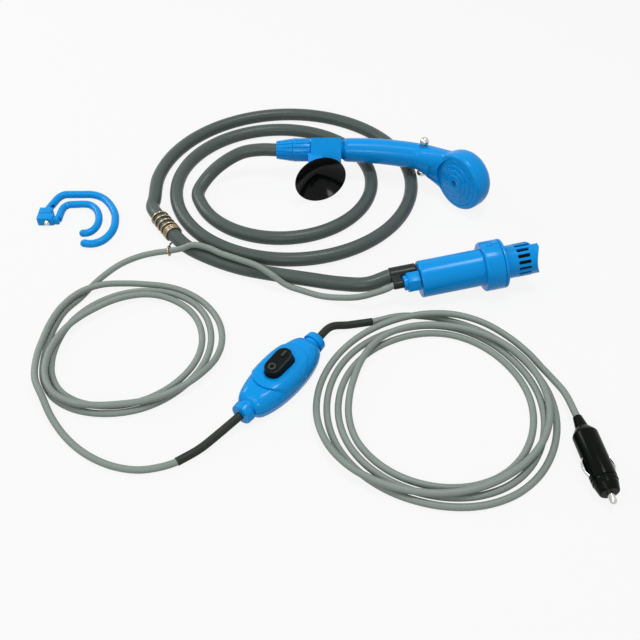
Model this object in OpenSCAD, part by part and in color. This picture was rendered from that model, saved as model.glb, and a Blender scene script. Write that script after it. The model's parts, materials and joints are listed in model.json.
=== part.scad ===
/* [Pump] */
// Outer diameter of the pump body
pump_body_d = 35; // [32:0.5:40]
// Length of the pump body, from its rear face to the collar
pump_body_l = 60; // [58:1:72]
// Wall of the pump body
pump_wall = 2; // [1.6:0.1:2.4]
// Thickness of the pump's rear wall
rear_wall = 4; // [3:0.5:6]
// Outer diameter of the collar that takes the strainer
collar_d = 47; // [46:0.5:52]
// Length of the collar
collar_l = 17.5; // [17:0.5:24]
// Outer diameter of the strainer basket
strainer_d = 31.5; // [29:0.5:34]
// Length of the strainer from its rim to the end of its foot
strainer_l = 33.5; // [28:0.5:38]
// How far the strainer's half-round foot stands out past the basket
foot_rise = 4.6; // [2:0.1:6]
// Depth of the arch in the foot that lets water in
foot_arch = 4.2; // [2:0.1:4.4]
// Part of the circle that the foot covers, in degrees
foot_sweep = 155; // [120:5:180]
// Wall of the strainer basket
strainer_wall = 2.5; // [1.8:0.1:3]
// Length of the rim on the strainer cap
cap_rim_l = 2.9; // [2.5:0.1:6]
// Number of intake slots round the strainer
slot_count = 16; // [10:1:18]
// Width of an intake slot
slot_w = 3.4; // [2:0.2:3.8]
// Length of an intake slot
slot_l = 14.3; // [8:0.1:16]
// Turn that frees the bayonet of the strainer, in degrees
bayonet_turn = 25; // [15:1:35]
// Outer diameter of the motor can
motor_d = 24; // [20:0.5:25]
// Length of the motor can
motor_l = 38; // [34:1:40]
// Diameter of the motor shaft
shaft_d = 2.4; // [2:0.1:3]
// Diameter of the impeller
impeller_d = 26; // [20:0.5:31]
// Number of impeller blades
blade_count = 6; // [4:1:8]
// Width across the flats of the gland nut
gland_nut_af = 18; // [16.5:0.5:18]
// Length of the gland nut
gland_nut_l = 15; // [13:0.5:17]
// Yaw of the pump where it lies, in degrees
pump_yaw = 10; // [5:1:20]

/* [Handset] */
// Diameter of the handle where the holder clips on
handle_d = 25; // [24:0.5:28]
// Length from the hose nut to the ball studs
handle_l = 157; // [150:1:170]
// Outer diameter of the shower head
head_d = 62; // [60:1:66]
// Depth of the shower head behind its face
head_depth = 27; // [24:1:32]
// Diameter of the rose plate
rose_d = 50; // [46:1:54]
// Number of steps from the edge of the rose plate to its middle
rose_rings = 4; // [3:1:5]
// Diameter of a ball stud
ball_d = 9.4; // [7:0.2:11]
// Length of the hose nut
hose_nut_l = 18; // [15:1:20]
// Length of the holder along the handle
holder_l = 32.5; // [30:0.5:38]
// Wall of the holder round the handle
holder_wall = 3; // [2.6:0.2:5]
// Diameter of the suction cup at its rim
cup_d = 55; // [48:1:56]
// Depth of the suction cup
cup_depth = 17; // [13:0.5:20]
// Turn of the suction cup away from square to the handle, in degrees
cup_turn = 16; // [0:1:20]

/* [Switch] */
// Length of the oval switch housing
switch_l = 90; // [84:1:104]
// Width of the oval switch housing
switch_w = 41; // [38:1:46]
// Height of the lower shell
switch_base_h = 11; // [10:0.5:13]
// Height of the upper shell
switch_cover_h = 12; // [11:0.5:14]
// Wall of the switch shells
switch_wall = 2; // [1.6:0.1:2.6]
// Length of the rocker
rocker_l = 29; // [28:0.5:34]
// Width of the rocker
rocker_w = 15.5; // [14:0.5:17]
// Whole swing of the rocker, in degrees
rocker_swing = 12; // [6:0.5:14]

/* [Plug] */
// Diameter of the plug barrel
plug_d = 21; // [20:0.2:22]
// Length of the plug barrel
plug_l = 42; // [38:1:50]
// Length of the strain relief on the plug
plug_boot_l = 12; // [8:1:16]
// Length of the screw-on nose
plug_nose_l = 12; // [9:0.5:14]
// Diameter of the sprung tip contact
tip_d = 5.6; // [4:0.2:6]
// Stroke of the tip contact
tip_stroke = 3; // [2:0.5:4]
// How far a side contact stands out of the barrel
side_rise = 2.6; // [1.5:0.1:3]

/* [Hook] */
// Diameter of the outer hook's rod
outer_rod_d = 8; // [7:0.2:8]
// Diameter of the inner hook's rod
inner_rod_d = 7.6; // [6:0.2:7.8]
// Thickness of a pivot lug
hook_lug_t = 9; // [7:0.5:10]
// Diameter of the pivot pin
hook_pin_d = 4; // [3:0.2:5]

/* [Hose and cable] */
// Outer diameter of the hose
hose_d = 14; // [13:0.5:15]
// Outer diameter of the cable
cable_d = 6; // [5:0.2:6.4]
// Outer diameter of the sleeves beside the switch
sleeve_d = 7.2; // [6:0.2:8]
// Diameter of the wire of the hose clip
clip_wire_d = 1.8; // [1.4:0.1:2]
// Number of open turns of the hose clip
clip_open_turns = 4; // [3:1:5]
// Number of close turns of the hose clip
clip_close_turns = 3; // [2:1:4]

/* [Hidden] */
$fn = 64;
blue = "#1496e0";
black = "#17181a";
hose_grey = "#4f5856";
cable_grey = "#98a29d";
sleeve_grey = "#3b3d3a";
steel = "#c9ccd0";

// Clearances
slip = 0.15;
run_gap = 0.06;
body_gap = 0.3;
eps = 0.05;

// Place of the layout's zero point in the part's own frame
layout_zero = [41.783, -126.307, 0];

// Vectors and curves
function unit(v) = v / norm(v);
function blend(a, b, f) = a + (b - a) * (1 - cos(180 * f)) / 2;
function clamp_index(list, i) = list[max(0, min(len(list) - 1, i))];
function pass_through(list, u) =
    let (i = min(floor(u), len(list) - 2), f = u - i,
        a = clamp_index(list, i - 1), b = list[i], c = list[i + 1], d = clamp_index(list, i + 2))
    b + 0.5 * f * (c - a + f * (2 * a - 5 * b + 4 * c - d + f * (3 * (b - c) + d - a)));
function step_through(list, u) =
    let (i = min(floor(u), len(list) - 2)) blend(list[i], list[i + 1], u - i);
function path_way(path, i) =
    unit(path[min(i + 1, len(path) - 1)] - path[max(i - 1, 0)]);
function path_ways(path) = [for (i = [0:len(path) - 1]) path_way(path, i)];
function path_length(path) =
    [for (i = [1:len(path) - 1]) norm(path[i] - path[i - 1])] * [for (i = [1:len(path) - 1]) 1];
function slice(list, first, last) = [for (i = [first:last]) list[i]];

// Least gap between parts of one tube, measured on its own points
function self_gap(path, d, apart) =
    min([for (i = [0:len(path) - 1], j = [0:len(path) - 1])
        if (j - i > apart) norm(path[i] - path[j])]) - d;

// A tube is rings of points round a path, square to it
function tube_ring(p, way, d, sides) =
    let (side = unit(cross(way, [0, 0, 1])), rise = cross(side, way))
    [for (k = [0:sides - 1])
        p + d / 2 * (cos(360 * k / sides - 90) * side + sin(360 * k / sides - 90) * rise)];
function skin_faces(rings, sides) = concat(
    [for (i = [0:rings - 2], k = [0:sides - 1]) let (a = i * sides, n = (k + 1) % sides)
        [a + k, a + sides + n, a + sides + k]],
    [for (i = [0:rings - 2], k = [0:sides - 1]) let (a = i * sides, n = (k + 1) % sides)
        [a + k, a + n, a + sides + n]],
    [for (k = [1:sides - 2]) [0, k + 1, k]],
    [for (k = [1:sides - 2]) let (a = (rings - 1) * sides) [a, a + k, a + k + 1]]);
module skin(rings) {
    points = [for (r = rings, p = r) p];
    polyhedron(points = points, faces = skin_faces(len(rings), len(rings[0])));
}
module tube(path, ways, d, sides) {
    skin([for (i = [0:len(path) - 1]) tube_ring(path[i], ways[i], d, sides)]);
}
function oval(l, w, z, count) =
    [for (k = [0:count - 1]) [l / 2 * cos(-360 * k / count), w / 2 * sin(-360 * k / count), z]];

// Places of the sub-assemblies in the layout
body_r = pump_body_d / 2;
collar_r = collar_d / 2;
pump_tilt = asin((collar_r - body_r) / pump_body_l);
edge_r = 1.6;
pump_rear = [93, 36, body_r * cos(pump_tilt) - edge_r * sin(pump_tilt)];
handset_start = [-47, 222.5, head_d / 2];
handset_yaw = 0;
switch_place = [-34, -76, 0];
switch_yaw = 53;
plug_start = [211, -119, plug_d / 2];
plug_yaw = -82;
hook_pivot = [-281.2, 142.4, 0];

module layout() { translate(layout_zero) children(); }
module pump_frame() {
    layout() translate(pump_rear) rotate([0, 90 - pump_tilt, pump_yaw]) children();
}
module handset_frame() {
    layout() translate(handset_start) rotate([0, 90, handset_yaw]) children();
}
module switch_frame() { layout() translate(switch_place) rotate([0, 0, switch_yaw]) children(); }
module plug_frame() { layout() translate(plug_start) rotate([0, 90, plug_yaw]) children(); }
module hook_frame() { layout() translate(hook_pivot) children(); }

// Points of the sub-assembly frames, in the layout
function pump_way() = [cos(pump_tilt) * cos(pump_yaw), cos(pump_tilt) * sin(pump_yaw), sin(pump_tilt)];
function pump_point(up, far, s) =
    pump_rear + s * pump_way() + far * [-sin(pump_yaw), cos(pump_yaw), 0]
    + up * [-sin(pump_tilt) * cos(pump_yaw), -sin(pump_tilt) * sin(pump_yaw), cos(pump_tilt)];
function turned(v, yaw) = [v.x * cos(yaw) - v.y * sin(yaw), v.x * sin(yaw) + v.y * cos(yaw), v.z];

// Pump layout along its axis
body_in_r = body_r - pump_wall;
motor_r = motor_d / 2;
capsule_wall = 1.2;
capsule_in_r = motor_r + slip;
capsule_r = capsule_in_r + capsule_wall;
cover_t = 3;
capsule_s = rear_wall + 3;
can_s = capsule_s + cover_t;
can_end = can_s + motor_l;
capsule_front_t = 5;
capsule_end = can_end + capsule_front_t;
collar_s = pump_body_l;
collar_end = pump_body_l + collar_l;
shaft_r = shaft_d / 2;
seal_r = 4;
seal_t = 3;
chamber_s = collar_s + 2;
sleeve_r = 19;
collar_bore_r = sleeve_r + slip;
inlet_t = 1.6;
inlet_wall = 1.6;
inlet_eye_r = 6.5;
cap_s = collar_end + 0.4;
lug_h = 2.4;
lug_rise = 1.7;
lug_angle = 16;
sleeve_l = 6;
lug_s = cap_s - sleeve_l + 0.6;
inlet_end = cap_s - sleeve_l - body_gap;
impeller_r = impeller_d / 2;
impeller_s = chamber_s + 1.4;
impeller_h = inlet_end - inlet_t - impeller_s - 1;
rim_end = cap_s + cap_rim_l;
strainer_r = strainer_d / 2;
strainer_end = rim_end + strainer_l;
basket_end = strainer_end - foot_rise;
foot_middle = -110;
basket_edge_r = 4.7;
slot_margin = 3.2;
end_wall = 2;
foot_inset = 0.25;
arch_half = strainer_r * 0.86;
arch_r = (arch_half * arch_half + foot_arch * foot_arch) / 2 / foot_arch;
collar_edge_r = 2;
arc_steps = 6;

// Ports in the rear wall, as up and far offsets from the axis
hose_port = [1.5, 10];
gland_port = [5.5, -6.5];
spigot_r = 5;
spigot_bore_r = 3.6;
spigot_l = 20;
boot_l = 26;
boot_wall = 1;
boss_r = 6.6;
nut_end_wall = 2.5;
nut_gap = 1.2;
nut_collar_l = 3.5;
nut_collar_r = 7;
nut_turn = -17;
nut_s = -nut_gap - gland_nut_l;
boss_l = gland_nut_l + nut_gap - nut_end_wall - 0.2;
grommet_r = 5;
grommet_l = 6;
cable_r = cable_d / 2;
hose_r = hose_d / 2;

function arc(middle, r, from, to) = [for (i = [0:arc_steps]) let (a = from + (to - from) * i / arc_steps)
    [middle.x + r * cos(a), middle.y + r * sin(a)]];
module ring(r_out, r_in, h) {
    difference() {
        cylinder(r = r_out, h = h);
        translate([0, 0, -1]) cylinder(r = r_in, h = h + 2);
    }
}
module arc_ring(r_in, r_out, h, start, sweep) {
    rotate([0, 0, start]) rotate_extrude(angle = sweep)
        translate([r_in, 0]) square([r_out - r_in, h]);
}
module at_port(port) { translate([-port.x, port.y, 0]) children(); }

module pump_casing() {
    color(blue) pump_frame() difference() {
        union() {
            rotate_extrude() polygon(concat([[0, 0]], arc([body_r - edge_r, edge_r], edge_r, -90, 0), [[body_r, collar_s]],
                arc([collar_r - collar_edge_r, collar_s + collar_edge_r], collar_edge_r, -90, 0),
                [[collar_r, collar_end], [0, collar_end]]));
            at_port(hose_port) translate([0, 0, -spigot_l]) cylinder(r = spigot_r, h = spigot_l + 1);
            at_port(gland_port) translate([0, 0, -boss_l]) cylinder(r = boss_r, h = boss_l + 1);
        }
        translate([0, 0, rear_wall]) cylinder(r = body_in_r, h = pump_body_l);
        translate([0, 0, chamber_s]) cylinder(r = collar_bore_r, h = collar_l + 1);
        at_port(hose_port) translate([0, 0, -spigot_l - 1])
            cylinder(r = spigot_bore_r, h = spigot_l + rear_wall + 2);
        at_port(gland_port) translate([0, 0, -boss_l - 1])
            cylinder(r = cable_r + slip, h = boss_l + rear_wall + 2);
        at_port(gland_port) translate([0, 0, -boss_l - 1]) cylinder(r = grommet_r + slip, h = grommet_l + 1);
        for (k = [0:2]) rotate([0, 0, 120 * k]) {
            translate([0, 0, lug_s - body_gap])
                arc_ring(sleeve_r - 1, sleeve_r + lug_rise + body_gap, lug_h + 2 * body_gap,
                    -lug_angle / 2 - 1, lug_angle + bayonet_turn + 2);
            translate([0, 0, lug_s])
                arc_ring(sleeve_r - 1.2, sleeve_r + lug_rise + body_gap - 0.08, collar_l,
                    bayonet_turn - lug_angle / 2 - 0.7, lug_angle + 1.2);
        }
    }
}
module motor_capsule() {
    color("#e8e8e4") pump_frame() difference() {
        union() {
            translate([0, 0, capsule_s]) cylinder(r = capsule_r, h = capsule_end - capsule_s);
            for (k = [0:2]) rotate([0, 0, 120 * k + 60]) translate([0, -1, capsule_s + 4])
                cube([body_in_r - slip, 2, capsule_end - capsule_s - 8]);
        }
        translate([0, 0, capsule_s - 1]) cylinder(r = capsule_in_r, h = can_end - capsule_s + 1);
        translate([0, 0, can_end - 1]) cylinder(r = shaft_r + 0.6, h = capsule_front_t + 2);
        translate([0, 0, capsule_end - seal_t]) cylinder(r = seal_r, h = seal_t + 1);
    }
}
module capsule_cover() {
    color("#e8e8e4") pump_frame() translate([0, 0, capsule_s]) difference() {
        cylinder(r = motor_r, h = cover_t);
        at_port(gland_port) translate([0, 0, -1]) cylinder(r = 1.5, h = cover_t + 2);
    }
}
can_wall = 1;
magnet_in_r = motor_r - can_wall - 2.6;
end_cap_t = 4;
module motor_can() {
    color(steel) pump_frame() difference() {
        translate([0, 0, can_s]) cylinder(r = motor_r, h = motor_l);
        translate([0, 0, can_s - 1]) cylinder(r = motor_r - can_wall, h = motor_l - 2 + 1);
        translate([0, 0, can_end - 3]) cylinder(r = shaft_r + run_gap, h = 4);
    }
}
module motor_end_cap() {
    color("#30343a") pump_frame() translate([0, 0, can_s]) difference() {
        cylinder(r = motor_r - can_wall, h = end_cap_t);
        translate([0, 0, 1]) cylinder(r = shaft_r + run_gap, h = end_cap_t);
    }
}
module motor_magnets() {
    color("#55565a") pump_frame() translate([0, 0, can_s + end_cap_t + 3])
        for (k = [0, 1]) arc_ring(magnet_in_r, motor_r - can_wall - eps, motor_l - 14, 180 * k + 30, 120);
}
module armature() {
    color("#b0703a") pump_frame() translate([0, 0, can_s + end_cap_t + 3]) difference() {
        union() {
            cylinder(r = shaft_r + 2, h = motor_l - 14);
            for (k = [0:2]) rotate([0, 0, 120 * k]) intersection() {
                translate([0, -magnet_in_r * 0.62, 0]) cube([magnet_in_r, magnet_in_r * 1.24, motor_l - 14]);
                cylinder(r = magnet_in_r - 0.6, h = motor_l - 14);
            }
        }
        translate([0, 0, -1]) cylinder(r = shaft_r, h = motor_l);
    }
}
shaft_s = can_s + 1.5;
module motor_shaft() {
    color(steel) pump_frame() translate([0, 0, shaft_s])
        cylinder(r = shaft_r, h = impeller_s + impeller_h - shaft_s);
}
module shaft_seal() {
    color("#202020") pump_frame() translate([0, 0, capsule_end - seal_t])
        ring(seal_r, shaft_r + run_gap, seal_t);
}
blade_t = 1.6;
hub_r = 3.6;
module impeller() {
    color("#f0f0ea") pump_frame() translate([0, 0, impeller_s]) difference() {
        union() {
            cylinder(r = impeller_r, h = 1.6);
            cylinder(r = hub_r, h = impeller_h);
            for (k = [0:blade_count - 1]) rotate([0, 0, 360 * k / blade_count]) intersection() {
                translate([impeller_r / 2, -impeller_r * 0.35, 0])
                    ring(impeller_r * 0.62, impeller_r * 0.62 - blade_t, impeller_h);
                cube([impeller_r - 0.2, impeller_r * 0.6, impeller_h]);
            }
        }
        translate([0, 0, -1]) cylinder(r = shaft_r, h = impeller_h + 2);
    }
}
module inlet_plate() {
    color(blue) pump_frame() translate([0, 0, chamber_s]) difference() {
        cylinder(r = sleeve_r, h = inlet_end - chamber_s);
        translate([0, 0, -1]) cylinder(r = sleeve_r - inlet_wall, h = inlet_end - chamber_s - inlet_t + 1);
        cylinder(r = inlet_eye_r, h = collar_l);
    }
}
slot_outline = concat([[slot_l, -slot_w / 2], [slot_l, slot_w / 2]], arc([slot_w / 2, 0], slot_w / 2, 90, 270));
module basket() {
    difference() {
        rotate_extrude() polygon(concat([[0, cap_s - 2], [strainer_r, cap_s - 2]],
            arc([strainer_r - basket_edge_r, basket_end - basket_edge_r], basket_edge_r, 0, 90), [[0, basket_end]]));
        translate([0, 0, cap_s - 3])
            cylinder(r = strainer_r - strainer_wall, h = basket_end - end_wall - cap_s + 3);
        for (k = [0:slot_count - 1]) rotate([0, 0, 360 * (k + 0.5) / slot_count])
            translate([0, 0, basket_end - slot_margin - slot_l]) rotate([0, -90, 0])
                linear_extrude(strainer_r + 1) polygon(slot_outline);
    }
}
module strainer_cap() {
    color(blue) pump_frame() {
        basket();
        difference() {
            union() {
                translate([0, 0, cap_s - sleeve_l]) cylinder(r = sleeve_r - slip, h = sleeve_l + 1);
                translate([0, 0, cap_s]) cylinder(r = collar_r, h = cap_rim_l);
                for (k = [0:2]) rotate([0, 0, 120 * k]) translate([0, 0, lug_s])
                    arc_ring(sleeve_r - 1.5, sleeve_r + lug_rise, lug_h, -lug_angle / 2, lug_angle);
            }
            translate([0, 0, cap_s - sleeve_l - 1])
                cylinder(r = strainer_r - strainer_wall / 2, h = sleeve_l + cap_rim_l + 2);
        }
        difference() {
            translate([0, 0, basket_end - basket_edge_r - 1])
                arc_ring(strainer_r - strainer_wall + foot_inset, strainer_r - foot_inset,
                    foot_rise + basket_edge_r + 1, foot_middle - foot_sweep / 2, foot_sweep);
            rotate([0, 0, foot_middle]) translate([0, 0, strainer_end - foot_arch + arch_r]) rotate([0, 90, 0])
                cylinder(r = arch_r, h = strainer_r + 1);
        }
    }
}
filter_t = 1.2;
filter_over = 2;
module filter_sleeve() {
    color(black) pump_frame() translate([0, 0, basket_end - slot_margin - slot_l - filter_over])
        ring(strainer_r - strainer_wall - slip, strainer_r - strainer_wall - filter_t, slot_l + slot_margin - end_wall + filter_over - slip);
}
module gland_nut() {
    color(blue) pump_frame() at_port(gland_port) difference() {
        union() {
            translate([0, 0, nut_s + nut_collar_l]) rotate([0, 0, nut_turn])
                cylinder(r = gland_nut_af / 2 / cos(30), h = gland_nut_l - nut_collar_l, $fn = 6);
            translate([0, 0, nut_s]) cylinder(r = nut_collar_r, h = nut_collar_l + 1);
        }
        translate([0, 0, nut_s + nut_end_wall]) cylinder(r = boss_r + slip, h = gland_nut_l);
        translate([0, 0, nut_s - 1]) cylinder(r = cable_r + slip, h = nut_end_wall + 2);
    }
}
module gland_grommet() {
    color("#202020") pump_frame() at_port(gland_port) translate([0, 0, -boss_l])
        ring(grommet_r, cable_r + eps, grommet_l - 0.2);
}
module cable_stub() {
    color(cable_grey) pump_frame() at_port(gland_port) translate([0, 0, nut_s])
        cylinder(r = cable_r, h = rear_wall + 2 - nut_s);
}
lobe_r = cable_r + boot_wall + 0.2;
module pump_boot() {
    color(black) pump_frame() difference() {
        union() {
            at_port(hose_port) translate([0, 0, -boot_l]) cylinder(r = hose_r + boot_wall, h = boot_l - 0.5);
            at_port(gland_port) translate([0, 0, -boot_l]) cylinder(r = lobe_r, h = nut_s + boot_l);
            hull() {
                at_port(hose_port) translate([0, 0, -boot_l])
                    cylinder(r = hose_r + boot_wall - 2, h = nut_s + boot_l - 1, $fn = 32);
                at_port(gland_port) translate([0, 0, -boot_l])
                    cylinder(r = lobe_r - 0.2, h = nut_s + boot_l - 1, $fn = 32);
            }
        }
        at_port(hose_port) translate([0, 0, -spigot_l - 0.3])
            cylinder(r = spigot_r + eps, h = spigot_l + 2);
        at_port(gland_port) translate([0, 0, nut_s])
            cylinder(r = gland_nut_af / 2 / cos(30) + 0.2, h = gland_nut_l + 4);
    }
}

// Hose: out of the handset nut, a spiral on the floor, then to the pump
hose_z = hose_r;
spiral_turns = 2;
spiral_start_angle = 190;
spiral_middle = [-48, 193];
spiral_drift = 10;
spiral_r = 83;
spiral_growth = 33;
spiral_flat = 0.96;
loop_rings = 24;
function spiral_point(t) =
    let (a = spiral_start_angle + 360 * t, r = spiral_r + spiral_growth * t)
    [spiral_middle.x + spiral_drift * t + r * cos(a), spiral_middle.y + spiral_flat * r * sin(a), hose_z];
hose_spiral = [for (i = [0:spiral_turns * loop_rings]) spiral_point(i / loop_rings)];
hose_lead_points = [[-64, 223, 31], [-84, 221.3, 28.4], [-104, 212, 22], [-120, 200, 13]];
clip_slack = 0.35;
clip_z = hose_r + clip_wire_d + clip_slack + eps;
clip_from = [-166, 137, clip_z];
clip_to = [-147, 109, clip_z];
hose_run_points = [[-175, 155, 7], clip_from, clip_to, [-133, 94, 7], [-108, 77, 7],
    [-78, 63, 7], [-45, 54, 7], [-12, 46, 8], [18, 37, 11], [44, 33, 14]];
hose_start = handset_start;
hose_end = pump_point(hose_port.x, hose_port.y, -boot_l);
hose_path = concat([hose_start], hose_lead_points, hose_spiral, hose_run_points, [hose_end]);
hose_ways = [for (i = [0:len(hose_path) - 1])
    i == 0 ? turned([-1, 0, 0], handset_yaw) :
    i == len(hose_path) - 1 ? pump_way() : path_way(hose_path, i)];
hose_a = len(hose_lead_points) + 1;
hose_b = hose_a + len(hose_spiral) - 1;
module hose_piece(first, last, sides) {
    color(hose_grey) layout()
        tube(slice(hose_path, first, last), slice(hose_ways, first, last), hose_d, sides);
}
module hose_lead() { hose_piece(0, hose_a, 10); }
module hose_coil() { hose_piece(hose_a, hose_b, 6); }
module hose_run() { hose_piece(hose_b, len(hose_path) - 1, 10); }

// Wire clip wound round the hose, with an eye for the cable
clip_axis = unit(clip_to - clip_from);
clip_l = norm(clip_to - clip_from);
clip_r = hose_r + clip_wire_d / 2 + clip_slack;
clip_side = unit(cross(clip_axis, [0, 0, 1]));
clip_turns = clip_open_turns + clip_close_turns;
clip_close_pitch = clip_wire_d + 0.5;
clip_open_pitch = (clip_l - clip_close_turns * clip_close_pitch) / clip_open_turns;
curl_rings = 8;
function clip_along(t) =
    t < clip_open_turns ? t * clip_open_pitch
        : clip_open_turns * clip_open_pitch + (t - clip_open_turns) * clip_close_pitch;
function clip_point(t) =
    clip_from + clip_along(t) * clip_axis
    + clip_r * (cos(360 * t - 90) * clip_side + sin(360 * t - 90) * [0, 0, 1]);
clip_rings = 16;
clip_wind = [for (i = [0:clip_turns * clip_rings]) clip_point(i / clip_rings)];
clip_arm = [[-151, 103, 1.7], [-150.5, 95, 2.6]];
eye_middle = [-149, 86, 8];
eye_axis = unit([25, 0, 7]);
eye_up = cross(eye_axis, [0, 1, 0]);
eye_r = cable_r + clip_wire_d / 2 + 0.5;
eye_turn = 0.9;
eye_shift = clip_wire_d + 0.5;
function eye_point(t) =
    eye_middle + (t - eye_turn / 2) * eye_shift * eye_axis
    + eye_r * (-sin(360 * t) * [0, 1, 0] - cos(360 * t) * eye_up);
clip_eye = [for (i = [0:2 * curl_rings]) eye_point(eye_turn * i / curl_rings / 2)];
clip_path = concat(clip_wind, clip_arm, clip_eye);
clip_bend = len(clip_path) - len(clip_eye);
function wire_ring(p, way, out, d, sides) =
    let (side = unit(cross(way, out)), rise = cross(side, way))
    [for (k = [0:sides - 1]) p + d / 2 * (cos(360 * k / sides) * side + sin(360 * k / sides) * rise)];
module hose_clip() {
    color("#8a7a60") layout() skin([for (i = [0:len(clip_path) - 1])
        wire_ring(clip_path[i], path_way(clip_path, i), i < clip_bend ? clip_axis : eye_axis, clip_wire_d, 6)]);
}

// Cable: from the pump through the clip's eye, round the left coil and to the switch
floor_z = cable_r;
layer_rise = cable_d + 0.7;
function coil_point(middle, start, way, radii, levels, u) =
    let (a = start + way * 45 * u, r = pass_through(radii, u))
    [middle.x + r * cos(a), middle.y + r * sin(a), floor_z + layer_rise * step_through(levels, u)];
function coil_path(middle, start, way, radii, levels) =
    [for (i = [0:(len(radii) - 1) * loop_rings / 8])
        coil_point(middle, start, way, radii, levels, i * 8 / loop_rings)];
left_middle = [-167, -32];
left_radii = [83, 77, 85, 77, 70, 69, 70, 67, 66, 69, 77, 69, 62, 61, 61, 59, 55, 68, 84, 73, 74, 79,
    77, 76, 83, 80, 93];
left_levels = [0, 0, 0, 0, 0, 0, 0, 0, 0, 0, 0, 0, 0, 0, 0.15, 0.5, 1, 1, 1, 1, 1, 0.2, 0, 0, 1, 1, 1];
left_loops = coil_path(left_middle, 135, 1, left_radii, left_levels);
pump_lead_points = [[62, 21, 19.6], [50, 18, 17], [36, 18, 12], [20, 22, 7], [2, 28, 3], [-16, 35, 3], [-32, 39, 7],
    [-46, 45, 15], [-60, 54, 18], [-78, 63, 18], [-95, 71, 18], [-110, 80, 18], [-124, 84, 18],
    [-137, 85, 12], [-149, 86, 8], [-162, 87, 5], [-178, 84, 3], [-195, 73, 3], [-208, 58, 3], [-218, 42, 3]];
lead_start = pump_point(gland_port.x, gland_port.y, -boot_l);
switch_lead_points = [[-222, -116, 6], [-207, -134, 3], [-188, -150, 3], [-166, -161, 3], [-145, -165, 3],
    [-129, -163, 3]];
sleeve_tail = [-114, -158, 3.6];
sleeve_middles = [[-97, -146, 4], [-83, -134, 7]];
ferrule_l = 9;
ferrule_r = 10;
ferrule_z = switch_base_h;
cord_end_x = switch_l / 2 + ferrule_l - 2;
switch_way = turned([1, 0, 0], switch_yaw);
sleeve_left_end = switch_place + cord_end_x * -switch_way + [0, 0, ferrule_z];
left_path = concat([lead_start], pump_lead_points, left_loops, switch_lead_points, [sleeve_tail],
    sleeve_middles, [sleeve_left_end]);
left_ways = [for (i = [0:len(left_path) - 1])
    i == 0 ? -pump_way() : i == len(left_path) - 1 ? switch_way : path_way(left_path, i)];
left_a = len(pump_lead_points) + 1;
left_b = left_a + len(left_loops) - 1;
left_c = left_b + len(switch_lead_points) + 1;
module left_piece(first, last, d, sides, finish) {
    color(finish) layout() tube(slice(left_path, first, last), slice(left_ways, first, last), d, sides);
}
module pump_lead() { left_piece(0, left_a, cable_d, 8, cable_grey); }
module left_coil() { left_piece(left_a, left_b, cable_d, 6, cable_grey); }
module switch_lead() { left_piece(left_b, left_c, cable_d, 8, cable_grey); }
module left_sleeve() { left_piece(left_c, len(left_path) - 1, sleeve_d, 8, sleeve_grey); }

// Cable: from the switch round the right coil and to the plug
right_middle = [99, -94];
right_radii = [102, 92, 91, 100, 107, 102, 98, 90, 84, 84, 83, 90, 98, 94, 89, 80, 74, 75, 75, 81, 88, 86,
    81, 72, 78, 80, 87, 93, 93, 98, 106, 98, 90, 95, 100];
right_levels = [0.1, 0, 0, 0, 0, 0, 0, 0, 0, 0, 0, 0, 0, 0, 0, 0, 0, 0, 0, 0, 0, 0, 0, 0.9, 1, 1, 1, 1, 1, 1,
    1, 0.3, 1, 1, 0];
right_loops = coil_path(right_middle, 120, -1, right_radii, right_levels);
sleeve_right_points = [[10, -17, 9], [26, -11, 5]];
sleeve_right_start = switch_place + cord_end_x * switch_way + [0, 0, ferrule_z];
plug_lead_points = [[193, -58, 3], [201, -74, 4], [207, -91, 7]];
plug_way = turned([1, 0, 0], plug_yaw);
right_path = concat([sleeve_right_start], sleeve_right_points, right_loops, plug_lead_points, [plug_start]);
right_ways = [for (i = [0:len(right_path) - 1])
    i == 0 ? switch_way : i == len(right_path) - 1 ? plug_way : path_way(right_path, i)];
right_a = len(sleeve_right_points) + 1;
right_b = right_a + len(right_loops) - 1;
module right_piece(first, last, d, sides, finish) {
    color(finish) layout() tube(slice(right_path, first, last), slice(right_ways, first, last), d, sides);
}
module right_sleeve() { right_piece(0, right_a, sleeve_d, 8, sleeve_grey); }
module right_coil() { right_piece(right_a, right_b, cable_d, 6, cable_grey); }
module plug_lead() { right_piece(right_b, len(right_path) - 1, cable_d, 8, cable_grey); }

echo(hose_length = path_length(hose_path), hose_gap = self_gap(hose_spiral, hose_d, 8));
echo(left_length = path_length(left_path), left_gap = self_gap(left_loops, cable_d, 6));
echo(right_length = path_length(right_path), right_gap = self_gap(right_loops, cable_d, 6));
echo(clip_gap = self_gap(clip_path, clip_wire_d, 8));

// Inline switch
oval_points = 48;
// Part of the whole oval that is left between its blunt ends
blunt = 0.87;
function blunt_oval(l, w, z) = [for (p = oval(l / blunt, w, z, oval_points))
    [max(-l / 2, min(l / 2, p.x)), p.y, p.z]];
function shell_rings(sizes, inset) =
    [for (s = sizes) blunt_oval((switch_l - 2 * inset) * s.x, (switch_w - 2 * inset) * s.y, s.z)];
cover_top = switch_base_h + switch_cover_h;
base_sizes = [[0.84, 0.74, 0], [0.93, 0.9, 2], [0.98, 0.97, 5], [1, 1, switch_base_h]];
base_hollow = [[0.84, 0.78, switch_wall], [0.96, 0.94, 5], [1, 1, switch_base_h + 1]];
cover_sizes = [[1, 1, switch_base_h], [0.985, 0.975, switch_base_h + 4], [0.93, 0.88, switch_base_h + 8],
    [0.82, 0.7, cover_top - 1], [0.74, 0.6, cover_top]];
cover_hollow = [[1, 1, switch_base_h - 1], [0.96, 0.95, switch_base_h + 4],
    [0.86, 0.8, switch_base_h + 8], [0.7, 0.58, cover_top - switch_wall]];
screw_x = switch_l / 2 - 17;
post_r = 3.4;
screw_r = 1.3;
screw_head_r = 2.5;
screw_head_h = 2;
screw_pocket = 3;
rim_l = rocker_l + 23;
rim_w = switch_w + 3;
rim_h = 2;
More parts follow.
